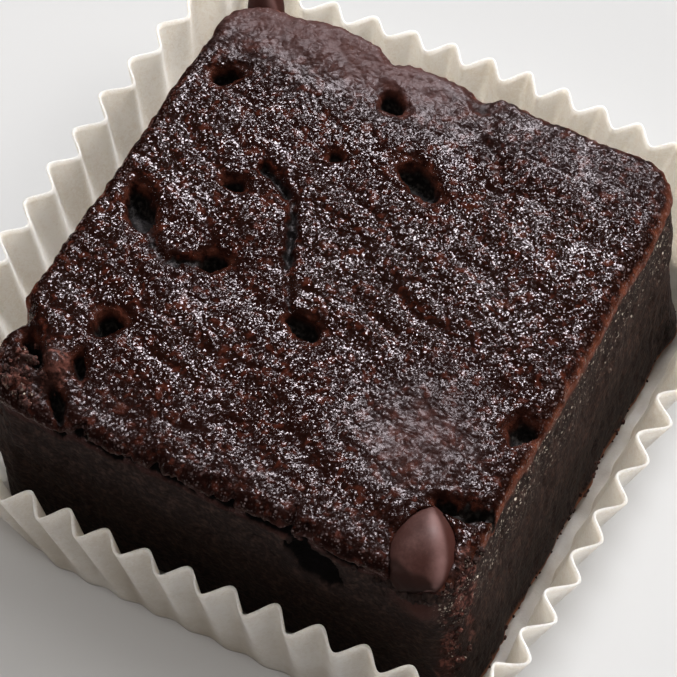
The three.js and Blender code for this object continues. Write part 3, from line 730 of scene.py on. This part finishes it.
# %% signals
class Signal:
    """One output of a node tree, to be combined with others."""

    def __init__(self, tree, socket):
        self.tree, self.socket = tree, socket

    def math(self, operation, *others):
        node = self.tree.nodes.new("ShaderNodeMath")
        node.operation = operation
        for slot, value in zip(node.inputs, (self, *others)):
            plug(self.tree, value, slot)
        return Signal(self.tree, node.outputs[0])

    def __add__(self, other):
        return self.math("ADD", other)

    def __sub__(self, other):
        return self.math("SUBTRACT", other)

    def __mul__(self, other):
        return self.math("MULTIPLY", other)

    def most(self, other):
        return self.math("MAXIMUM", other)

    def ramp(self, low, high, to_low=0.0, to_high=1.0):
        """Eases from one value to another while the signal goes from low to high."""
        node = self.tree.nodes.new("ShaderNodeMapRange")
        node.interpolation_type = "SMOOTHSTEP"
        for slot, value in zip(node.inputs, (self, low, high, to_low, to_high)):
            plug(self.tree, value, slot)
        return Signal(self.tree, node.outputs["Result"])


def plug(tree, value, slot):
    """Links a signal into a socket, or sets the socket to a plain value."""
    if isinstance(value, Signal):
        tree.links.new(value.socket, slot)
    else:
        slot.default_value = value


def attribute(tree, name):
    node = tree.nodes.new("ShaderNodeAttribute")
    node.attribute_name = name
    return Signal(tree, node.outputs["Fac"])


def colors(tree, mask, low, high):
    """A blend of two colours, each a signal or three numbers."""
    node = tree.nodes.new("ShaderNodeMix")
    node.data_type = "RGBA"
    plug(tree, mask, node.inputs["Factor"])
    for value, slot in ((low, node.inputs[6]), (high, node.inputs[7])):
        plug(tree, value if isinstance(value, Signal) else (*value, 1.0), slot)
    return Signal(tree, node.outputs[2])


# %% [markdown]
# Three effects come back again and again, so each is a node group built once. `fine_grain` is a noise whose
# size is given in millimetres. The sparkle group scatters small bright dots over a surface: painted
# sparkles and glints. `flakes` is a skin of small flat facets: each leans its own way, by up to Lean.

# %% shared groups
def vector_math(tree, operation, first, second, slot=1, output="Vector"):
    node = tree.nodes.new("ShaderNodeVectorMath")
    node.operation = operation
    plug(tree, first, node.inputs[0])
    plug(tree, second, node.inputs[slot])
    return Signal(tree, node.outputs[output])


def new_group(name, texture_kind, numbers, results):
    """A group with a texture that reads Places in steps of Size millimetres."""
    group = bpy.data.node_groups.new(name, "ShaderNodeTree")
    group.interface.new_socket("Places", in_out="INPUT", socket_type="NodeSocketVector")
    for socket_name, value in numbers.items():
        socket = group.interface.new_socket(socket_name, in_out="INPUT", socket_type="NodeSocketFloat")
        socket.default_value = value
    for socket_name in results:
        group.interface.new_socket(socket_name, in_out="OUTPUT", socket_type="NodeSocketFloat")
    given = {s.name: Signal(group, s) for s in group.nodes.new("NodeGroupInput").outputs if s.name}
    per_step = group.nodes.new("ShaderNodeMath")
    per_step.operation = "DIVIDE"
    per_step.inputs[0].default_value = 1.0 / MM
    plug(group, given["Size"], per_step.inputs[1])
    places = vector_math(group, "SCALE", given["Places"], Signal(group, per_step.outputs[0]), "Scale")
    texture = group.nodes.new(texture_kind)
    texture.inputs["Scale"].default_value = 1.0
    plug(group, places, texture.inputs["Vector"])
    return group, given, places, texture, group.nodes.new("NodeGroupOutput")


def make_fine_grain():
    group, given, _, texture, leave = new_group(
        "fine_grain", "ShaderNodeTexNoise", {"Size": 1.0, "Detail": 2.0, "Twist": 0.0}, ("Value", "Folds"))
    plug(group, given["Detail"], texture.inputs["Detail"])
    plug(group, given["Twist"], texture.inputs["Distortion"])
    value = Signal(group, texture.outputs[0])
    plug(group, value, leave.inputs["Value"])
    plug(group, (value - 0.5).math("ABSOLUTE") * 4.0, leave.inputs["Folds"])
    return group


def make_sparkle_dots():
    group, given, _, texture, leave = new_group(
        "sparkle_dots", "ShaderNodeTexVoronoi", {"Size": 0.4, "Share": 0.1}, ("Mask",))
    split = group.nodes.new("ShaderNodeSeparateColor")
    group.links.new(texture.outputs["Color"], split.inputs[0])
    chosen = Signal(group, split.outputs[0]).math("LESS_THAN", given["Share"])
    bright = Signal(group, split.outputs[1]) * Signal(group, split.outputs[2])
    near = Signal(group, texture.outputs["Distance"]).ramp(0.2, 0.5, 1.0, 0.0)
    plug(group, chosen * bright * near, leave.inputs["Mask"])
    return group


def make_flakes():
    group, given, places, texture, leave = new_group(
        "flakes", "ShaderNodeTexVoronoi", {"Size": 0.4, "Lean": 0.4}, ("Height",))
    from_middle = vector_math(group, "SUBTRACT", places, Signal(group, texture.outputs["Position"]))
    own_way = vector_math(group, "SUBTRACT", Signal(group, texture.outputs["Color"]), (0.5, 0.5, 0.5))
    height = vector_math(group, "DOT_PRODUCT", from_middle, own_way, output="Value")
    plug(group, height * given["Lean"] * given["Size"], leave.inputs["Height"])
    return group


FINE_GRAIN = make_fine_grain()
SPARKLE_DOTS = make_sparkle_dots()
FLAKES = make_flakes()


def use_group(tree, group, **values):
    node = tree.nodes.new("ShaderNodeGroup")
    node.node_tree = group
    for name, value in values.items():
        plug(tree, value, node.inputs[name])
    return {s.name: Signal(tree, s) for s in node.outputs}


def new_material(name, **constants):
    """A material with its Principled shader, and the signal of its object coordinates."""
    material = bpy.data.materials.new(name)
    material.use_nodes = True
    tree = material.node_tree
    shader = tree.nodes["Principled BSDF"]
    for socket_name, value in constants.items():
        shader.inputs[socket_name.replace("_", " ")].default_value = value
    places = Signal(tree, tree.nodes.new("ShaderNodeTexCoord").outputs["Object"])
    return material, tree, shader, places


def dress(material, *pieces):
    for piece in pieces:
        piece.data.materials.append(material)
    print(material.name, "with", len(material.node_tree.nodes), "nodes on", [piece.name for piece in pieces])


def relief_from(tree, shader, height):
    """Bump from a height in millimetres."""
    node = tree.nodes.new("ShaderNodeBump")
    node.inputs["Strength"].default_value = 1.0
    node.inputs["Distance"].default_value = MM
    plug(tree, height, node.inputs["Height"])
    tree.links.new(node.outputs["Normal"], shader.inputs["Normal"])


print("shared groups:", sorted(g.name for g in bpy.data.node_groups))

# %% [markdown]
# ## Cake material
# The crust is nearly black with red brown flecks, and it shines, because sugar and fat set on it like a
# glaze. The cut crumb is charcoal and matt. The edge between them is a rust brown band on the lit sides;
# along the shaded front it is painted as a darker purple lip, which is painted shade. Holes, cracks and
# the lower sides are painted near black as shade, and pale dots and lilac specks are painted glints. In
# the soft parts a mauve coat is partly a painted haze of glints. The colours go on like coats of paint,
# each where its mask says.

# %% cake material
CRUST_DARK = (0.0132, 0.0036, 0.0022)
CRUST_RED = (0.057, 0.0128, 0.0066)
# Mauve of the dull bloom, which is partly a painted haze of glints
CRUST_MAUVE_HAZE = (0.068, 0.023, 0.0178)
RIM_RED = (0.07, 0.02, 0.012)
CRUMB_DARK = (0.025, 0.0155, 0.013)
CRUMB_BROWN = (0.068, 0.0385, 0.03)
EDGE_RUST = (0.18, 0.054, 0.029)
FOOT_RUST = (0.4, 0.145, 0.065)
# The edge band as it looks on the shaded front: painted shade
SHADED_LIP_PURPLE = (0.055, 0.022, 0.018)
COLLAR_BROWN = (0.055, 0.022, 0.017)
TORN_BROWN = (0.03, 0.0115, 0.0085)
TORN_RED = (0.15, 0.056, 0.043)
# Painted shade for holes, cracks and the lower sides, and painted light on the bottoms of holes
PAINTED_SHADE_BLACK = (0.004, 0.0034, 0.003)
HOLE_LIT_GRAY = (0.03, 0.027, 0.024)
# Pale dots that stand in for glints: painted sparkles
PAINTED_SPARKLE_PALE = (0.8, 0.7, 0.58)
# Painted glints for the strip where the crust turns over
GLINT_LILAC = (0.27, 0.205, 0.205)


def make_cake_material():
    material, tree, shader, places = new_material(
        "baked_cake", IOR=1.5, Specular_IOR_Level=0.38, Specular_Tint=(1.0, 0.88, 0.92, 1.0))
    at = {name: attribute(tree, name) for name in SHOWN}

    def grains(size, detail, twist=0.0):
        return use_group(tree, FINE_GRAIN, Places=places, Size=size, Detail=detail, Twist=twist)

    def grit(size, share):
        return use_group(tree, SPARKLE_DOTS, Places=places, Size=size, Share=share)["Mask"]

    def facets(size, lean):
        return use_group(tree, FLAKES, Places=places, Size=size, Lean=lean)["Height"]

    broad, middle, rough = grains(5.0, 2.0)["Value"], grains(1.7, 3.0)["Value"], grains(0.55, 3.0)["Value"]
    fine = grains(0.8, 0.3, 0.4)
    color = colors(tree, (middle * 0.4 + rough * 0.6).ramp(0.44, 0.68), CRUMB_DARK, CRUMB_BROWN)
    crust_color = colors(tree, (middle * 0.6 + fine["Value"] * 0.4).ramp(0.51, 0.67), CRUST_DARK, CRUST_RED)
    # In the soft parts the mauve coat is a dull bloom and partly a painted haze of glints
    bloom = (at["soft"] * 0.7 + middle * 0.6).ramp(0.45, 1.1)
    torn_color = colors(tree, (middle * 0.5 + rough * 0.5).ramp(0.48, 0.62), TORN_BROWN, TORN_RED)
    # Painted shade inside holes, with lighter grey spots as painted light on their bottoms
    painted_hole_shade = colors(tree, at["pit"] * rough.ramp(0.45, 0.7), PAINTED_SHADE_BLACK, HOLE_LIT_GRAY)
    coats = [
        # Painted shade: the lower sides and the front go towards black
        (at["low"] * rough.ramp(0.2, 0.6, 0.9, 0.4), PAINTED_SHADE_BLACK),
        (at["crust"], colors(tree, bloom, crust_color, CRUST_MAUVE_HAZE)),
        ((at["rust"] * 0.9 + middle * 0.7).ramp(0.60, 1.2), EDGE_RUST),
        # Painted shade: the edge band along the front, darker and more purple
        ((at["lip"] * 0.9 + middle * 0.5).ramp(0.5, 1.1), SHADED_LIP_PURPLE),
        ((at["collar"] + rough * 0.6).ramp(0.4, 1.2), COLLAR_BROWN),
        # Painted glints: lilac specks on the strip where the crust turns over, where no real glint reaches
        (grit(0.27, 0.6).most(grit(0.46, 0.35)) * (at["brow"] * 1.5).ramp(0.0, 1.0, 0.0, 0.9), GLINT_LILAC),
        ((at["torn"] + middle * 0.6).ramp(0.6, 1.0), torn_color),
        (at["rim"] * middle.ramp(0.35, 0.6) * 0.8, RIM_RED),
        ((at["foot"] * 0.9 + middle * 0.7).ramp(0.45, 0.95), FOOT_RUST),
        # Painted shade: holes, cracks, the front groove and the front cavity go near black
        (at["pit"].ramp(0.1, 0.65).most(at["gap"].ramp(0.05, 0.3)), painted_hole_shade),
        # Painted sparkles: pale dots standing in for glints
        ((grit(0.22, 0.30) + grit(0.44, 0.22) * 1.6) * at["painted_sparkle"], PAINTED_SPARKLE_PALE),
    ]
    for mask, coat in coats:
        color = colors(tree, mask, color, coat)
    plug(tree, color, shader.inputs["Base Color"])
    shine = at["glaze"].most(at["pit"]) * at["torn"].ramp(0.2, 0.8, 1.0, 0.75)
    dull = at["soft"] * 0.36 + at["pit"] * 0.55 + (broad - 0.5) * 0.12
    plug(tree, shine.ramp(0.0, 1.0, 0.85, 0.20) + dull, shader.inputs["Roughness"])
    small = facets(0.34, 0.42) + facets(0.19, 0.48)
    flakes = small + (facets(0.85, 0.42) - small) * at["soft"].ramp(0.1, 0.8)
    skin = fine["Folds"] * 0.05 + grains(0.48, 0.0)["Value"] * 0.10 + flakes
    skin = skin * at["ridge"].ramp(0.0, 1.0, 0.6, 1.0) * broad.ramp(0.3, 0.7, 0.85, 1.15)
    skin = skin * at["soft"].ramp(0.4, 1.0, 1.0, 0.55)
    sponge = grains(0.9, 3.0)["Value"] * 0.22 + grains(0.35, 1.0)["Value"] * 0.10
    relief_from(tree, shader, sponge + (skin - sponge) * at["crust"])
    return material


dress(make_cake_material(), cake, crumbs)

# %% [markdown]
# ## Chips
# Each chip starts as a sphere. Its rings slide along the chip's own axis and take the girth of the drop,
# so the poles stay closed. A soft ridge runs along it, and crust is smeared over its base end, in relief
# and in a dark colour that is also painted shade.

# %% chips
CHIP_SEGMENTS, CHIP_RINGS = 72, 48
CHIP_CAP_SHARE = 0.12


def make_chip(name, node):
    chip = CHIPS[node]
    bm = bmesh.new()
    bmesh.ops.create_uvsphere(bm, u_segments=CHIP_SEGMENTS, v_segments=CHIP_RINGS, radius=1.0)
    piece = finish_piece(name, bm, node)
    unit_points = mesh_points(piece.data)
    axis, side, up = chip_axes(chip)
    ring = np.arccos(np.clip(-unit_points[:, 2], -1, 1)) / math.pi
    angle = np.arctan2(unit_points[:, 1], unit_points[:, 0])
    cap = np.clip(ring / CHIP_CAP_SHARE, 0, 1)
    body = np.clip((ring - CHIP_CAP_SHARE) / (1 - CHIP_CAP_SHARE), 0, 1)
    along = np.sin(body * math.pi / 2)
    girth = np.where(ring < CHIP_CAP_SHARE, chip["end_share"] * cap, chip_girth(chip, along))
    girth = np.where(ring > 1 - 1e-6, 0, girth)
    ridge_turn = CHIP_RIDGE_TURN + CHIP_RIDGE_TWIST * (1 - along)
    girth = girth * (1 + CHIP_RIDGE_RISE * np.maximum(0, np.cos(angle - ridge_turn)) ** CHIP_RIDGE_SHARPNESS)
    points = np.array(chip["base"]) + np.outer(along * chip["length"], axis)
    points = points + np.outer(chip["half_width"] * girth * np.cos(angle) + chip["lean"] * along ** 2, side)
    points = points + np.outer(chip["half_thick"] * girth * np.sin(angle), up)
    set_mesh_points(piece.data, points)
    dents = 0.035 * grain(points, 2.4, 5.0) + 0.012 * grain(points, 0.9, 9.0)
    points = points + mesh_normals(piece.data) * dents[:, None]
    from_crest = np.mod(angle, TAU) - ridge_turn
    # The crest mask carries a painted highlight, the flank mask a painted shade
    set_mask(piece.data, "crest", np.exp(-(from_crest / 0.22) ** 2) * smooth((0.97 - along) / 0.2))
    set_mask(piece.data, "flank", smooth((from_crest - 0.12) / 0.25) * (from_crest < 2.5))
    # Crumb smeared over the base end, as relief and as a dark colour that is also painted shade
    smear_and_shade = smooth((0.05 + 0.17 * (1 + np.cos(angle)) - along + 0.10 * grain(points, 1.6, 13.0)) / 0.14)
    set_mask(piece.data, "smear_and_shade", smear_and_shade)
    points = points + mesh_normals(piece.data) * (smear_and_shade * 0.22 * grain(points, 0.8, 17.0))[:, None]
    set_mesh_points(piece.data, (points + (CAKE_X, CAKE_Y, 0)) * MM)
    report_size(piece)
    return piece


front_chip = make_chip("front_chip", "chip_front")
back_chip = make_chip("back_chip", "chip_back")

# %% [markdown]
# Warm chocolate melts a little in the oven and sets again with a soft bloom: mauve brown, half matt, with
# faint marks. Along the crest a lighter colour is painted as highlight, and the flank beside it and the
# smeared base end are painted darker as shade.

# %% chip material
CHIP_BROWN = (0.056, 0.0195, 0.0155)
CHIP_BLOOM = (0.135, 0.06, 0.052)
# Painted highlight along the crest, and painted shade on the flank beside it
CHIP_CREST_HIGHLIGHT = (0.19, 0.1, 0.093)
CHIP_FLANK_SHADE = (0.05, 0.0155, 0.0115)
# Dark crumb on the chip's base end, which is also painted shade
CHIP_SMEAR_SHADE = (0.036, 0.014, 0.011)


def make_chip_material():
    material, tree, shader, places = new_material("set_chocolate", IOR=1.46, Specular_IOR_Level=0.38)
    cloud = use_group(tree, FINE_GRAIN, Places=places, Size=2.6, Detail=3.0)["Value"]
    marks = use_group(tree, FINE_GRAIN, Places=places, Size=0.35, Detail=2.0, Twist=0.5)["Value"]
    crest, flank = attribute(tree, "crest"), attribute(tree, "flank")
    bloom = (cloud * 0.6 + marks * 0.3 + crest * 0.2 - flank * 0.2).ramp(0.3, 0.85)
    smear_and_shade = (attribute(tree, "smear_and_shade") + (marks - 0.5) * 0.5).ramp(0.1, 0.9)
    color = colors(tree, bloom, CHIP_BROWN, CHIP_BLOOM)
    # Painted highlight on the crest and painted shade on the flank
    color = colors(tree, crest * cloud.ramp(0.3, 0.6, 0.5, 0.9), color, CHIP_CREST_HIGHLIGHT)
    color = colors(tree, flank * 0.75, color, CHIP_FLANK_SHADE)
    # The base end goes darker: smeared crumb and painted shade
    color = colors(tree, smear_and_shade, color, CHIP_SMEAR_SHADE)
    plug(tree, color, shader.inputs["Base Color"])
    plug(tree, cloud.ramp(0.3, 0.7, 0.48, 0.62) + smear_and_shade * 0.2, shader.inputs["Roughness"])
    relief_from(tree, shader, cloud * 0.05 + marks * 0.012)
    return material


dress(make_chip_material(), front_chip, back_chip)

# %% [markdown]
# ## Paper case
# The case is one disc of greaseproof paper pressed between fluted moulds: a flat floor, a crease and a
# wall of folds that open towards the rim. A circle of vertices is extruded up for the wall and inwards
# for the floor, then each column is moved to its place in the fold. Solidify gives the paper its thickness.

# %% sizes of the case
PAPER_THICK, PAPER_HEIGHT = 0.3, 15.0
BASE_BOX = {"left": -34.6, "right": 34.7, "front": -38.2, "back": 34.4,
            "corners": [10, 10, 19, 8], "bulges": [0, 0, 0, 0]}
RIM_BOX = {"left": -37.5, "right": 38.0, "front": -38.7, "back": 37.9,
           "corners": [9.5, 9.5, 11, 8], "bulges": [1.2, 1.45, 1.25, 0.7]}
FLUTES = 53
FLUTE_DEPTH_RIM, FLUTE_DEPTH_BASE = 1.3, 0.2
FLUTE_START = 0.61
# The folds drift a little round the case: waves in one round, share of a sine and of a cosine
FLUTE_DRIFT = ((1, 0.09, 0.21), (2, -0.19, -0.21), (3, 0.0, 0.11))
FRONT_FAN = 2.2
FLUTE_STEPS = 22
WALL_ROWS = 22
FLOOR_RINGS = 5


def flute_turns(place):
    turns = place * FLUTES + FLUTE_START
    for waves, sine, cosine in FLUTE_DRIFT:
        turns = turns + sine * np.sin(place * TAU * waves) + cosine * np.cos(place * TAU * waves)
    return turns


def column_place(column):
    """Columns are evenly spaced in the wave, so every fold has the same number of them."""
    turns = column / FLUTE_STEPS
    place = turns / FLUTES
    for _ in range(12):
        place = place + (turns - flute_turns(place)) / FLUTES
    return place


def flute_wave(turns):
    wave = np.sin(turns * TAU)
    return wave * (0.9 + 0.1 * wave * wave)


def wall_middle(place, share):
    bx, by, bnx, bny = rounded_outline(BASE_BOX, place)
    rx, ry, rnx, rny = rounded_outline(RIM_BOX, place)
    uneven = 0.95 + 0.1 * np.sin(place * TAU * 9 + 0.7) + 0.07 * np.sin(place * TAU * 23)
    late = mix(1.1, 1.4, smooth(bnx))
    depth = mix(FLUTE_DEPTH_BASE, FLUTE_DEPTH_RIM * uneven, np.power(share, late))
    out = depth * flute_wave(flute_turns(place))
    fan = FRONT_FAN * smooth(-bny) * (1 - share)
    nx, ny = mix(bnx, rnx, share), mix(bny, rny, share)
    return mix(bx, rx, share) + nx * out + fan, mix(by, ry, share) + ny * out


def rim_lift(place):
    once = np.mod(place, 1.0)
    sag = 1.3 * bell(np.abs(once - 0.625), 0.09)
    return 0.2 * np.sin(once * TAU * 5 + 1) - sag


# %% fold the case
def unit_case():
    bm = bmesh.new()
    bmesh.ops.create_circle(bm, cap_ends=False, segments=FLUTES * FLUTE_STEPS, radius=1.0)
    crease = list(bm.edges)
    ring = crease
    for _ in range(WALL_ROWS):
        upper, ring = grow_row(bm, ring)
        bmesh.ops.translate(bm, verts=upper, vec=(0, 0, 1))
    ring = crease
    for step in range(FLOOR_RINGS):
        inner, ring = grow_row(bm, ring)
        shrink = (FLOOR_RINGS - step) / (FLOOR_RINGS + 1 - step)
        bmesh.ops.scale(bm, verts=inner, vec=(shrink, shrink, 1))
    return close_mesh(bm, ring)


case = finish_piece("fluted_case", unit_case(), "paper_case")
unit = mesh_points(case.data)
place = column_place(np.mod(np.arctan2(unit[:, 1], unit[:, 0]), TAU) / TAU * FLUTES * FLUTE_STEPS)
share = unit[:, 2] / WALL_ROWS
inward = np.hypot(unit[:, 0], unit[:, 1])
wall_x, wall_y = wall_middle(place, share)
level = np.maximum(share * PAPER_HEIGHT + rim_lift(place) * share, PAPER_THICK / 2)
case_points = np.stack([wall_x * inward, wall_y * inward, level], -1)
valley = 0.5 - 0.5 * flute_wave(flute_turns(place))
# Painted shade on the paper: darker low on the front wall, most in the valleys, and on the floor of the case
front_wall = smooth((-25 - case_points[:, 1]) / 8) * (share > 0)
low_wall = np.clip(0.75 * (1 - share) + 0.45 * valley * smooth((1 - share) / 0.12), 0, 1)
flat_floor = 0.8 * (1 - smooth((share - 0.02) / 0.15))
set_mask(case.data, "dull", np.maximum(front_wall * low_wall, flat_floor))
set_mesh_points(case.data, case_points * MM)
thickness = case.modifiers.new("paper_thickness", "SOLIDIFY")
thickness.thickness = PAPER_THICK * MM
thickness.offset = 0.0
report_size(case)

# %% [markdown]
# Baking paper is matt and a little warm in colour, with short fibres and faint grease marks. The mask
# `dull` is painted shade: it makes the paper browner and darker on the floor and low on the front wall,
# most of all in the valleys there, where light hardly gets in.

# %% paper material
PAPER_WHITE = (0.76, 0.745, 0.718)
PAPER_WARM = (0.67, 0.625, 0.565)
# Painted shade for the floor of the case and the low front wall
PAPER_PAINTED_SHADE = (0.43, 0.39, 0.33)


def make_paper_material():
    material, tree, shader, places = new_material(
        "greaseproof_paper", IOR=1.45, Specular_IOR_Level=0.25, Subsurface_Weight=1.0,
        Subsurface_Scale=1.1 * MM, Subsurface_Radius=(1.0, 0.92, 0.8),
    )
    shader.subsurface_method = "BURLEY"
    cloud = use_group(tree, FINE_GRAIN, Places=places, Size=9.0, Detail=3.0)["Value"]
    fibres = use_group(tree, FINE_GRAIN, Places=places, Size=0.5, Detail=3.0, Twist=1.2)["Value"]
    mottle = (cloud * 0.5 + fibres * 0.5).ramp(0.38, 0.68)
    color = colors(tree, mottle, PAPER_WHITE, PAPER_WARM)
    # Painted shade where the mask says
    color = colors(tree, attribute(tree, "dull") * cloud.ramp(0.3, 0.7, 0.5, 1.0), color, PAPER_PAINTED_SHADE)
    plug(tree, color, shader.inputs["Base Color"])
    plug(tree, fibres.ramp(0.3, 0.7, 0.75, 0.9), shader.inputs["Roughness"])
    relief_from(tree, shader, fibres * 0.03)
    return material


dress(make_paper_material(), case)

# %% [markdown]
# ## Floor
# A pale floor catches the shadow, and behind the cake it is painted darker: painted shade. It isn't part
# of the object, and the glaze doesn't mirror it.

# %% floor
FLOOR_SIZE = 2.0
FLOOR_DIM, FLOOR_BRIGHT, FLOOR_BACK_SHADE = (0.61,) * 3, (0.65,) * 3, (0.56,) * 3


def make_floor():
    bm = bmesh.new()
    bmesh.ops.create_grid(bm, x_segments=2, y_segments=2, size=FLOOR_SIZE)
    mesh = bpy.data.meshes.new("floor")
    bm.to_mesh(mesh)
    bm.free()
    floor = bpy.data.objects.new("floor", mesh)
    scene.collection.objects.link(floor)
    floor.visible_glossy = False
    material, tree, shader, places = new_material("pale_floor", Roughness=0.75)
    cloud = use_group(tree, FINE_GRAIN, Places=places, Size=60.0, Detail=2.0)["Value"]
    split = tree.nodes.new("ShaderNodeSeparateXYZ")
    plug(tree, places, split.inputs[0])
    # Painted shade: the floor is darker behind the cake, to tone down the light from behind
    far = Signal(tree, split.outputs["Y"]).ramp(0.0, 0.07)
    color = colors(tree, far, colors(tree, cloud, FLOOR_DIM, FLOOR_BRIGHT), FLOOR_BACK_SHADE)
    plug(tree, color, shader.inputs["Base Color"])
    dress(material, floor)


make_floor()
